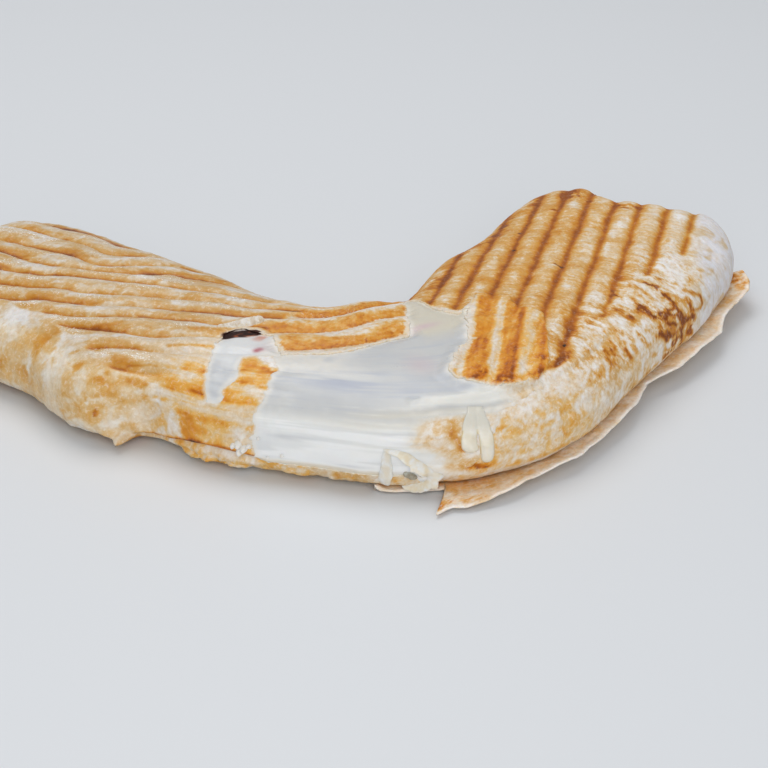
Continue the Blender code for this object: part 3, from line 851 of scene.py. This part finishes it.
SWIRLS = [
    ([(220.6, 42), (222, 36), (224.6, 29), (227.6, 17)], 1.9, 0.80),
    ([(235, 54), (234.5, 40), (233.5, 28), (233, 14), (232.5, 2)], 1.4, 0.74),
    ([(220, 16), (224.6, 6), (229, -1)], 2.3, 0.82), ([(222, -2), (231, -3)], 1.5, 0.7),
    ([(228, 30), (231, 22), (229, 12)], 1.3, 0.5),
    ([(242.7, 34), (246.4, 20), (244.7, 9), (239.5, 14), (241, 28)], 1.1, 0.52),
    ([(235.7, 11), (240, 6), (237.5, -2)], 1.5, 0.7),
    ([(222, 64), (223.6, 52), (223, 43)], 1.5, 0.46),
    ([(216, 53), (214, 39), (212.6, 29)], 1.6, 0.42), ([(229, 60), (229, 44)], 1.1, 0.42),
    ([(200, 42), (198, 31), (195, 22)], 1.4, 0.30), ([(193.5, 36), (189, 25)], 1.1, 0.26),
    ([(206, 44), (204, 30), (203, 16)], 1.2, 0.30), ([(211, 22), (214, 4)], 1.3, 0.34),
    ([(240, 52), (243, 40)], 1.0, 0.4), ([(251, 40), (254, 24), (252, 8)], 0.8, 0.26),
    ([(216, -4), (205, -8), (196, -7)], 1.2, 0.34), ([(258, 34), (262, 22)], 0.7, 0.22),
]
SPECKS = [(191, 59, 0.5, 0.5), (253, 121, 0.5, 0.45), (239, 110, 0.5, 0.5), (231, 90, 0.5, 0.5),
          (261, 123, 0.4, 0.4), (137, 108, 0.4, 0.2), (151, 94, 0.4, 0.2), (97, 0, 0.5, 0.35),
          (171, 60, 0.8, 0.25), (288, 118, 4.0, 0.42), (284, 91, 1.2, 0.35), (281, 89, 1.0, 0.3),
          (285, 87, 1.2, 0.35), (283, 102, 1.0, 0.2), (272, 114, 0.8, 0.3)]


def torn_edge(quads, keep, hole, points, smooth_place, edge, up):
    """Direction into the tear at each edge point, evened out, and the edge's own lines."""
    lost, faces = quads[~keep], quads[keep]
    t = np.zeros_like(points)
    for a in range(4):
        for b in range(4):
            go = edge[lost[:, a]] & hole[lost[:, b]]
            np.add.at(t, lost[go, a], smooth_place[lost[go, b]] - points[lost[go, a]])
    t = t[edge]
    t = unit(t - up * np.sum(t * up, 1, keepdims=True))
    pairs = np.concatenate([faces[:, [a, (a + 1) % 4]] for a in range(4)])
    pairs = pairs[edge[pairs].all(1)]
    code = np.sort(pairs, 1) @ np.array([len(points), 1])
    _, first, times = np.unique(code, return_index=True, return_counts=True)
    pairs = pairs[first[times == 1]]
    index = np.cumsum(edge) - 1
    one, two = index[pairs].T
    for _ in range(6):
        total = t.copy()
        np.add.at(total, one, t[two])
        np.add.at(total, two, t[one])
        t = unit(total)
    return t, pairs, index


def build_skin():
    """The torn tortilla in five lengths, each tear with its rolled rim."""
    step = 0.42
    phis = section_phis((90.0, 230.0), [-40, -20, 188, 210], [1.4, step, step, 1.4])
    s, phi = np.meshgrid(stations(), phis, indexing="ij")
    rows, columns = s.shape
    s, phi = s.ravel(), phi.ravel()
    hole = torn_open(s, phi)
    quads = grid_quads(rows, columns)
    keep = ~hole[quads].any(1)
    touched, kept = np.zeros((2, len(s)), bool)
    touched[quads[~keep]] = True
    kept[quads[keep]] = True
    edge = touched & kept & ~hole
    smooth_place = body(s, phi)[0]
    near, at = nearest_rim(smooth_place)
    s[edge], phi[edge] = at[edge].T
    near[edge] = 0
    f = Field(s, phi)
    points = skin_point(f)
    colours, *layers = paint_skin(f, near)

    # rolled rim of each tear, running under the skin
    up = outward(s[edge], phi[edge])
    t, pairs, index = torn_edge(quads, keep, hole, points, smooth_place, edge, up)
    place = points[edge]
    rough = noise(place, 1.1, 2, 50)[:, None]
    # rim darkened along the same dark slit
    on_dark_slit = smooth(stroke(s[edge], phi[edge], DARK_SLIT_LINE, 1.9) * 2.4 - 0.5)
    tone = mix((240, 232, 218), (226, 200, 160), 0.3 + 0.5 * rough[:, 0])
    tone = mix(tone, SLIT_DARK, on_dark_slit)
    rings = [place + t * (out + 0.14 * rough) - up * (down + 0.08 * rough)
             for out, down in RIM_ROLL]
    faces, before = [quads[keep]], pairs.T
    for n in range(len(rings)):
        ids = len(points) + n * len(place) + index[pairs].T
        faces.append(np.stack([before[1], before[0], ids[0], ids[1]], 1))
        before = ids
    points = np.concatenate([points] + rings)
    colours = np.concatenate([colours] + [tone] * len(rings))
    rim_values = (-0.4 * on_dark_slit, 1 - on_dark_slit, 0.3 * (1 - on_dark_slit), 0 * on_dark_slit)
    layers = [np.append(values, np.tile(value, len(rings)))
              for values, value in zip(layers, rim_values)]
    faces = np.concatenate(faces)
    normals = vertex_normals(points, faces)
    at = np.append(s, np.tile(s[edge], len(rings)))[faces[:, 0]]

    skin = material("skin_baked", 0.58, 0.35, 1.3, 0.10)
    cuts = [0, 96, 140, 196, 250, 400]
    pieces = [faces[(at >= a) & (at < b)].tolist() for a, b in zip(cuts[:-1], cuts[1:])]
    for row, way, at, piece in ((0, -1, 0.0, pieces[0]), (rows - 1, 1, LENGTH, pieces[-1])):
        ring = row * columns + np.arange(columns)
        piece += cap(row, columns, len(points))
        points = np.append(points, points[ring].mean(0)[None], 0)
        colours = np.append(colours, colours[ring].mean(0)[None], 0)
        layers = [np.append(values, 0) for values in layers]
        normals = np.append(normals, [[*spine(np.array(at))[1] * way, 0]], 0)
    for n, piece in enumerate(pieces, 1):
        make_piece("skin_%d" % n, points, piece, colours, "tortilla", skin, normals,
                   **dict(zip(LAYERS, layers)))
    return skin


# ---------------------------------------------------------------- the filling

# Fold in the cheese below the flap, as (S, PHI)
TONGUE_TOP = [(131, 52), (150, 50), (158, 48), (165, 48), (170, 50), (173, 46), (175, 43)]
TONGUE_FOLD = [(131, 28), (152, 34), (158, 36), (163, 39), (168, 38), (171, 37), (174, 36)]
# Soft rolls in the cheese: (phi, start, end, height)
CHEESE_ROLLS = [(17, 135, 156, .2), (11, 150, 162, .2), (2, 136, 150, .2), (23, 142, 160, .15),
                (-2, 140, 151, .2)]


def filling_shape(s, phi, place, near, at, open_):
    """Points of the cheese surface and what its colours are worked out from."""
    rims = relief(Field(*at.T))
    level = rims * (1 - smooth(near / 4)) - CHEESE_DEPTH + 0.13 * smooth(near / 6)
    level = np.where(open_, level, rims - CHEESE_DEPTH - 2.6 * grow(near, 0.8, 2))
    z = place[:, 2]
    streak_p = stack(s, phi * 0.5, 0)
    streak, soft = noise(streak_p, (24, 2.6, 1), 3, 60), noise(place, 7, 3, 64)
    rise = 0.05 * streak * fade(phi, 40, 30) + 0.12 * noise(place, 9, 2, 61)
    top, fold = table(s, TONGUE_TOP), table(s, TONGUE_FOLD)
    tongue = smooth((phi - fold) / 3.5) * smooth((top + 5 - phi) / 8)
    rise += (0.45 * tongue - 0.35 * bell(phi, fold - 1.5, 3.4)) * span(s, 148, 16, 176, 4)
    for phi_at, start, end, size in CHEESE_ROLLS:
        line = phi_at + 1.5 * np.sin(s / 5.0 + phi_at)
        rise += size * bell(phi, line, 1.6) * span(s, start, 4, end, 4)
    thread = noise(streak_p, (13, 0.9, 1), 3, 62)
    rise += 0.05 * thread * fade(phi, 58, 20) * smooth(0.4 + 2 * soft)
    # a film of melted cheese over the rim and the skin on the right
    film = fade(phi, 49, 4) * grow(s, 155, 4)
    reach = 3.4 * film * (1 - 0.55 * grow(s, 167, 5))
    reach += 0.9 * fade(phi, 82, 4) * fade(s, 140, 6) * (phi > -12)
    film = np.minimum(reach / 0.8, 1)
    ragged = near + np.minimum(reach, 1) * 0.9 * noise(place, 3, 3, 69)
    over = film * np.where(open_, 1, smooth((reach + 1.2 - ragged) / 0.5))
    coat = relief(Field(s, phi)) + 0.30 * smooth((reach + 0.2 - ragged) / 2.6) - 0.13
    level = level * (1 - over) + over * coat
    lift = (rise * (phi > -30) * (phi < 150) * open_ + level) * smooth(z / 4)
    lift = np.where(z < 4, np.minimum(lift, -1.2 * smooth(1 - z / 4)), lift)
    points = place + outward(s, phi) * lift[:, None]
    points[:, 2] = np.maximum(points[:, 2], 0.8)
    return points, streak_p, streak, soft, thread, tongue, fold


def paint_filling(s, phi, place, near, open_, shape):
    """Display colour, gloss and marbling of each point of the cheese."""
    streak_p, streak, soft, thread, tongue, fold = shape
    tone, smear = noise(streak_p, (28, 6, 1), 3, 63), noise(streak_p, (14, 3.2, 1), 3, 70)
    shadow = 0.9 * bell(s, 145, 9) * bell(phi, 62, 10) + 0.6 * bell(s, 156, 8) * bell(phi, 50, 5)
    upper = grow(phi, 62, 10) * fade(s, 152, 12) * smooth(0.8 + soft)
    cream = fade(phi, 33, 12) * grow(phi, -16, 14) * (0.5 + 0.4 * tone)
    cream *= 0.45 + 0.55 * grow(s, 138, 16)
    cream = np.maximum(cream, 0.7 * bell(phi, fold - 3, 4) * grow(s, 142, 12))
    cream = np.maximum(cream, bell(s, 163, 8) * bell(phi, 25, 9))
    bright = smooth((streak + 0.5 * thread - 0.05) / 0.5) * fade(phi, 32, 10)
    hair = grow(noise(streak_p, (15, 0.6, 1), 3, 74), 0.1, 0.4) * fade(phi, 50, 16)
    hair *= grow(s, 133, 8)
    # golden net and white foam where the cheese thins out over the skin
    thin = smooth((s - 155.5 + 2 * soft - 2.6 * fade(phi, 6, 6)) / 5)
    thin *= smooth((fold - 5 - phi) / 6)
    foam = noise(place + 2.0 * three_noises(place), 1.6, 4, 60, 0.7)
    stains = (0.32 * stroke(s, phi, [(162.2, 27), (162, 14), (163.4, 3)], 0.9)
              + 0.20 * stroke(s, phi, [(168.6, 20), (168, 2), (166, -3)], 0.8)
              + 0.30 * stroke(s, phi, [(162, -3), (166, -4)], 1.6))
    dough = toasted(np.clip(0.19 + 0.20 * foam + 0.10 * soft + stains, 0, 1))
    behind = grow(s, 164, 5) * grow(phi, 88, 6)
    pink = bell(s, 170, 5) * bell(phi, 96.5, 1.6) + 0.5 * bell(s, 161, 3) * bell(phi, 75, 7)
    # the dark slit painted near-black on the cheese, red-brown towards its right end
    slit = smooth(stroke(s, phi, DARK_SLIT_LINE, 1.7) * 2.4 - 0.6)
    rust = smooth(noise(place, 1.2, 3, 71) + 0.2) * grow(s, 114.2, 0.8)
    edge = fade(near, 1.6, 1.4) * (1 - thin) * (1 - slit)
    low = fade(phi, -5, 7) * fade(s, 156, 6)
    past = grow(s, 170, 5) + (1 - open_) * grow(s, 158, 4) * smooth(near / 0.8)
    past = np.minimum(past, 1) * span(phi, 6, 8, 62, 5)
    colour = mix((194, 196, 199), (208, 208, 206), 0.5 + 0.6 * tone + 0.3 * soft)
    for coat, amount in (
            ((168, 174, 190), shadow * smooth(0.4 + 1.3 * smear + 0.6 * thread)),
            ((186, 191, 200), 0.4 * smooth(thread / 0.5) * grow(phi, 24, 14)),
            ((238, 240, 241), 0.85 * fade(phi, 30, 12) * smooth(1.25 + tone)),
            ((228, 224, 216), 0.8 * upper), ((222, 214, 196), 0.75 * cream),
            ((222, 224, 226), 0.8 * fade(s, 127, 4) * smooth(0.6 + tone)),
            ((246, 246, 245), 0.7 * bright),
            ((240, 239, 234), 0.35 * hair * smooth(0.5 + 1.5 * soft)),
            ((236, 234, 226), 0.85 * tongue * grow(s, 152, 10)),
            (dough, thin * 0.95), ((222, 212, 188), 0.7 * behind), ((210, 188, 192), 0.8 * pink),
            ((168, 82, 90), 1.2 * stroke(s, phi, [(124.3, 82.5), (124.8, 84)], 0.8)),
            ((208, 150, 132), 0.9 * stroke(s, phi, [(120.8, 91), (122, 91)], 0.9)),
            ((206, 196, 198), 0.6 * bell(s, 125.5, 2.5) * bell(phi, 86, 4)),
            (mix(SLIT_DARK, (150, 78, 44), rust), slit), ((236, 230, 220), 0.6 * edge),
            ((216, 198, 166), 0.6 * low * smooth(0.6 + tone)),
            (toasted(np.clip(0.15 + 0.15 * foam + 0.10 * soft, 0, 1)), 0.8 * past)):
        colour = mix(colour, coat, amount)
    gloss = (0.14 + 0.10 * smooth(tone) + 0.1 * thin) * (1 - slit) - 0.4 * slit
    return colour, gloss, 0.5 * np.maximum(thin, past)


def build_filling():
    """The mass of cheese inside the skin, which bulges out in the tears."""
    step = 0.36
    stops = np.concatenate([[6, 9], np.arange(12, 106, 4), np.arange(106, 197, step),
                            np.arange(198, LENGTH - 8, 4), [LENGTH - 6]])
    phis = section_phis((150.0,), [-40, -20, 140, 160], [5, step, step, 5])
    s, phi = np.meshgrid(stops, phis, indexing="ij")
    rows, columns = s.shape
    s, phi = s.ravel(), phi.ravel()
    place, _ = body(s, phi)
    near, at = nearest_rim(place, 14.0)
    open_ = torn_open(s, phi)
    points, *shape = filling_shape(s, phi, place, near, at, open_)
    colour, gloss, marble = paint_filling(s, phi, place, near, open_, shape)
    faces = grid_quads(rows, columns).tolist()
    for row in (0, rows - 1):
        ring = row * columns + np.arange(columns)
        faces += cap(row, columns, len(points))
        points = np.append(points, points[ring].mean(0)[None], 0)
        colour = np.append(colour, colour[ring].mean(0)[None], 0)
        gloss, marble = np.append(gloss, 0.1), np.append(marble, 0)
    cheese = material("cheese_filling", 0.50, 0.05, 1.8, 0.35, (1.0, 0.85, 0.7))
    make_piece("cheese_mass", points, faces, colour, "filling", cheese,
               gloss=gloss, marble=marble)
    return cheese


# ---------------------------------------------------------------- loose edge, drip, bits

# Drip lobes as (line of (phi, s), half width, lower end); crumbs as (s, phi, half width)
DRIP_LOBES = [([(0, 164.5), (8, 164.3), (16, 164.6), (26, 165.1), (42, 166.4)], 1.2, 1),
              ([(0, 166.8), (10, 166.8), (20, 166.7), (28, 166.8), (42, 167.2)], 1.05, -2)]
CRUMBS = [(127.0, -2, 0.9), (127.9, -1, 1.3), (128.9, -2.5, 1.3), (128.2, -5, 1.2),
          (129.7, -1.5, 0.9), (135.5, -4, 0.7), (131.4, 1, 0.5), (133.0, -7, 0.5)]
VIEWED_FROM = (0.0, -0.75, 0.66)


def build_loose_edge():
    """Thin wavy layer under the right arm, from a torn tip to a corner at the far end."""
    step = 0.4
    run = np.concatenate([np.arange(150.6, 161.5, step), [161.6, 161.8],
                          np.arange(162.2, 288.4, step)])
    at, out, height = np.array(LOOSE_RIM, float).T
    flat = stack(run, 0, 0)
    edge = np.interp(run, at, out) + 0.22 * noise(flat, 3, 4, 70, 0.7)
    level = np.interp(run, at, height)
    half = table(run, OUTER_WIDTH)
    inner = np.minimum(half * np.interp(run, *np.array(LOOSE_INNER).T), edge - 3)
    inner = np.maximum(inner, edge - 0.5 - 2.2 * (run - run[0]))
    t = np.linspace(0, 1, 36)
    out = inner[:, None] + (edge - inner)[:, None] * t
    lean = 0.32 * np.maximum(out - 30.3, 0) * (1 - grow(run, 161.7, 9))[:, None]
    s = run[:, None] - lean * (run > 161.7)[:, None]
    place, _, inward = spine(s)
    x, y = np.moveaxis(place - inward * out[..., None], -1, 0)
    plan = stack(x, y, 0)
    grain, lump = noise(plan, 1.6, 4, 72, 0.65), noise(plan, 6, 2, 71)
    thick = 1.05 - 0.4 * t ** 2
    under, lat = body(run[:, None], np.linspace(-88, -1, 200)[None, :])
    z = np.zeros_like(out)
    for i, line in enumerate(out):
        room = np.interp(line, -lat[i], under[i, :, 2])
        hug = np.where(line > half[i] - 0.4, 99, room) - 0.4 - thick
        start, leave = np.interp([half[i] - 10, half[i] - 5.5], line, hug)
        knots = [inner[i], max(half[i] - 10, inner[i] + 0.5), max(half[i] - 5.5, inner[i] + 1),
                 max(edge[i], inner[i] + 2)]
        levels = [0.3, max(start, 0.3), max(min(leave, level[i] + 1), 0.4), level[i]]
        z[i] = np.minimum(np.interp(line, knots, levels), hug)
    wave = 0.3 * np.sin(run / 3.7) + 0.5 * noise(flat, 7, 3, 73)
    z += (wave[:, None] * t ** 3 + 0.25 * lump * t) * smooth(level / 2)[:, None]
    z = np.maximum(z, 0.15)
    high, low = stack(x, y, z + thick + 0.16 * grain), stack(x, y, z)
    tip = (high[:, -1:] + low[:, -1:]) / 2
    tip[..., :2] -= inward[:, -1:] * 0.4
    ring = np.concatenate([low, tip, high[:, ::-1]], 1)
    rows, columns = ring.shape[:2]
    points = ring.reshape(-1, 3)
    away = (edge - inner)[:, None] * (1 - np.concatenate([t, [1.02], t[::-1]]))
    mid = noise(ring, 5, 3, 74)
    fine = noise(ring, 1.5, 4, 75, 0.65)
    toast = 0.23 + 0.14 * mid + 0.12 * fine
    toast -= (0.18 + 0.1 * fine) * smooth((1.6 - away + 0.6 * mid) / 1.2)
    run = run[:, None]
    spot = smooth((169 - run + 3 * mid) / 5) * (run > 161.7)
    toast += 0.42 * spot * bell(away, 2.4, 2.8) * smooth(0.75 + mid + fine)
    toast += 0.44 * grow(run, 276, 6) * smooth((0.9 + mid + fine) / 1.4)
    # colours lifted above the skin's own toast colours: painted light that offsets the shade under
    # the body
    colour = np.minimum(toasted(np.clip(toast, 0, 1)).reshape(-1, 3) * (1.07, 1.04, 1.01), 255)
    look = material("skin_loose", 0.6, 0.4, 1.3, 0.12)
    make_piece("loose_flange", points, sheet_faces(rows, columns), colour, "loose_edge", look,
               marble=0.5, crumb=smooth((1.5 - away.ravel()) / 1.0))


def strand(name, path, node, look, colours, rough=0.2, **layers):
    """Soft strand through (s, phi, height over the skin, half width, half thickness) steps.

    COLOURS gives its two tones and how unevenly they mix.
    """
    s, phi, lift, *sizes = np.array(path, float).T
    places = skin_point(Field(s, phi)) + outward(s, phi) * lift[:, None]
    run = run_along(places)
    fine = np.linspace(0, run[-1], max(24, int(run[-1] / (0.25))))
    line = stack(*(table(fine, list(zip(run, axis))) for axis in places.T))
    size = stack(*(np.interp(fine, run, values) for values in sizes))
    end = np.minimum(fine, run[-1] - fine) / np.maximum(size[:, 0], 0.3)
    size *= np.sqrt(np.clip(1 - (1 - np.clip(end, 0, 1)) ** 2, 0.01, 1))[:, None]
    along = unit(np.gradient(line, axis=0))
    side = unit(np.cross(along, VIEWED_FROM))
    up = np.cross(side, along)
    turn = np.linspace(0, 2 * np.pi, 28, endpoint=False)[:, None]
    line, side, up, size = line[:, None], side[:, None], up[:, None], size[:, None]
    ring = line + side * np.cos(turn) * size[..., :1] + up * np.sin(turn) * size[..., 1:]
    push = rough * noise(ring, 1.4, 3, 90) * np.minimum(size[..., 1], 1)
    ring += (ring - line) * push[..., None]
    points = np.concatenate([ring.reshape(-1, 3), line[[0, -1], 0]])
    points[:, 2] = np.maximum(points[:, 2], 0.15)
    rows, columns = ring.shape[:2]
    faces = grid_quads(rows, columns).tolist()
    for k in range(columns):
        n = (k + 1) % columns
        faces.append([n, k, rows * columns])
        faces.append([(rows - 1) * columns + k, (rows - 1) * columns + n, rows * columns + 1])
    one, two, uneven = colours
    tint = mix(one, two, 0.5 + uneven * noise(points, 1.2, 3, 82))
    make_piece(name, points, faces, tint, node, look, **layers)


def build_drip(cheese):
    """Two melted lobes that run down over the right edge of the tear."""
    step = 0.14
    s, phi = np.meshgrid(np.arange(161.0, 169.8, step), np.arange(-7, 50, 2.2 * step))
    rise = np.zeros_like(s)
    for line, wide, end in DRIP_LOBES:
        half = wide * (1 - 0.35 * grow(phi, 20, 18))
        x = (s - table(phi, line) + 0.1 * noise(stack(s, phi * 0.6, 0), 4, 2, 84)) / half
        y = np.clip((end + 2.6 * wide - phi) / (2.6 * wide), 0, 2)
        lobe = np.clip(1 - x ** 2 - y ** 2, 0, 1) ** 0.62
        rise = np.maximum(rise, lobe * (0.32 + 0.55 * bell(phi, 3, 12)))
    stays = fade(phi, 46, 26)
    deep = np.where(rise > 0.02, (rise + 0.16) * stays - 0.5 * (1 - stays), -1.5)
    base, up = skin_point(Field(s, phi)), outward(s, phi)
    high, low = base + up * deep[..., None], base - up * 1.9
    ring = np.concatenate([low, high[:, ::-1]], 1)
    points = ring.reshape(-1, 3)
    both = np.concatenate([phi, phi[:, ::-1]], 1).ravel()
    lift = np.concatenate([0 * rise, rise[:, ::-1]], 1).ravel()
    lift = np.maximum(lift, 0.5 * grow(both, 14, 8))
    soft = 0.5 + 0.6 * noise(points, 3, 3, 80)
    tint = mix((222, 190, 120), mix((224, 214, 190), (238, 233, 222), soft), smooth(lift / 0.36))
    tint = mix(tint, (216, 212, 200), grow(both, 12, 14))
    make_piece("cheese_lobes", points, sheet_faces(*ring.shape[:2]), tint, "cheese_drip", cheese,
               gloss=0.2)


def build_bits(cheese, dough):
    """Small things at the tear: curl and fold of cheese, vegetable bit, dry strip, crumbs."""
    white = (236, 234, 229)
    strand("cheese_curl", [(152.3, 4, -0.4, 0.7, 0.2), (152.3, 0, -0.1, 1.1, 0.25),
                           (152.3, -8, 0, 1.5, 0.3), (152.1, -17, 0, 2.0, 0.35),
                           (152.0, -27, 0, 2.0, 0.35)],
           "filling", cheese, (white, (228, 216, 196), 0.8), 0.6, gloss=0.1)
    strand("cheese_swirl", [(151.8, 4, -0.4, 0.9, 0.2), (154.4, 2, -0.1, 1.7, 0.3),
                            (156.8, -1, -0.05, 2.3, 0.35), (158.6, -8, 0, 2.8, 0.4),
                            (158.6, -16, 0, 2.8, 0.4), (157.0, -24, 0, 2.1, 0.35),
                            (154.8, -28, -0.1, 1.1, 0.3)],
           "filling", cheese, (white, (229, 214, 186), 0.9), 0.7, gloss=0.1)
    strand("vegetable_bit", [(154.8, -9, -0.1, 0.7, 0.4), (156.0, -11, 0, 1.2, 0.6),
                             (157.0, -14, -0.1, 0.8, 0.4)],
           "filling", cheese, ((132, 116, 92), (184, 184, 172), 0.9), 0.4)
    strand("dry_strip", [(108.6, 89.5, 0.1, 0.5, 0.3), (110.8, 92.2, 0.3, 1.3, 0.3),
                         (113.0, 96, 0.4, 1.6, 0.3), (114.8, 100, 0.5, 1.3, 0.3)],
           "tortilla", dough, ((230, 226, 220), (204, 186, 160), 0.9), 0.35, marble=0.6)
    for n, (s, phi, size) in enumerate(CRUMBS, 1):
        half = 0.5 * size
        strand("crumb_%d" % n, [(s - half, phi, 0, size * 0.8, half),
                                (s + 0.1, phi, 0.15, size, size * 0.6),
                                (s + half, phi - 0.5, 0, size * 0.8, half)],
               "filling", cheese, ((240, 238, 236), (226, 218, 206), 0.5), 0.8, marble=0.3)


# ---------------------------------------------------------------- stage

# Lamps as (name, place, size, power, colour)
LAMPS = [("key", (-0.12, 0.30, 0.95), 0.8, 4.6, (1.0, 0.98, 0.96)),
         ("front", (0.10, -1.15, 0.65), 1.1, 7.5, (1.0, 1.0, 1.0))]
CAMERA_LENS = 99.516
CAMERA_OFFSET = (0, -0.51688, 0.25996)


def look_from(made, place, target):
    made.location = place
    aim = target - made.location
    made.rotation_euler = aim.to_track_quat("-Z", "Y").to_euler()


def build_stage():
    mesh = bpy.data.meshes.new("floor")
    half = 3.0
    mesh.from_pydata([(-half, -half, 0), (half, -half, 0), (half, half, 0), (-half, half, 0)],
                     [], [(0, 1, 2, 3)])
    look = bpy.data.materials.new("floor")
    look.use_nodes = True
    shader = look.node_tree.nodes["Principled BSDF"]
    shader.inputs["Base Color"].default_value = (*linear((222, 225, 229)), 1)
    shader.inputs["Roughness"].default_value = 0.5
    mesh.materials.append(look)
    new_object("floor", mesh)

    world = bpy.data.worlds.new("studio")
    world.use_nodes = True
    background = world.node_tree.nodes["Background"]
    background.inputs["Color"].default_value = (0.94, 0.97, 1.0, 1)
    background.inputs["Strength"].default_value = 0.40
    scene = bpy.context.scene
    scene.world = world
    for name, place, size, energy, colour in LAMPS:
        light = bpy.data.lights.new(name, "AREA")
        light.shape = "DISK"
        light.size, light.energy, light.color = size, energy, colour
        look_from(new_object(name, light), place, Vector((0.02, -0.01, 0)))

    data = bpy.data.cameras.new("camera")
    data.sensor_width, data.lens, data.clip_start = 36, CAMERA_LENS, 0.01
    camera = new_object("camera", data)
    target = Vector(-ORIGIN * MM)
    look_from(camera, target + Vector(CAMERA_OFFSET), target)
    scene.camera = camera
    scene.view_settings.view_transform = "Standard"


build_stage()
dough_look = build_skin()
cheese_look = build_filling()
build_loose_edge()
build_drip(cheese_look)
build_bits(cheese_look, dough_look)
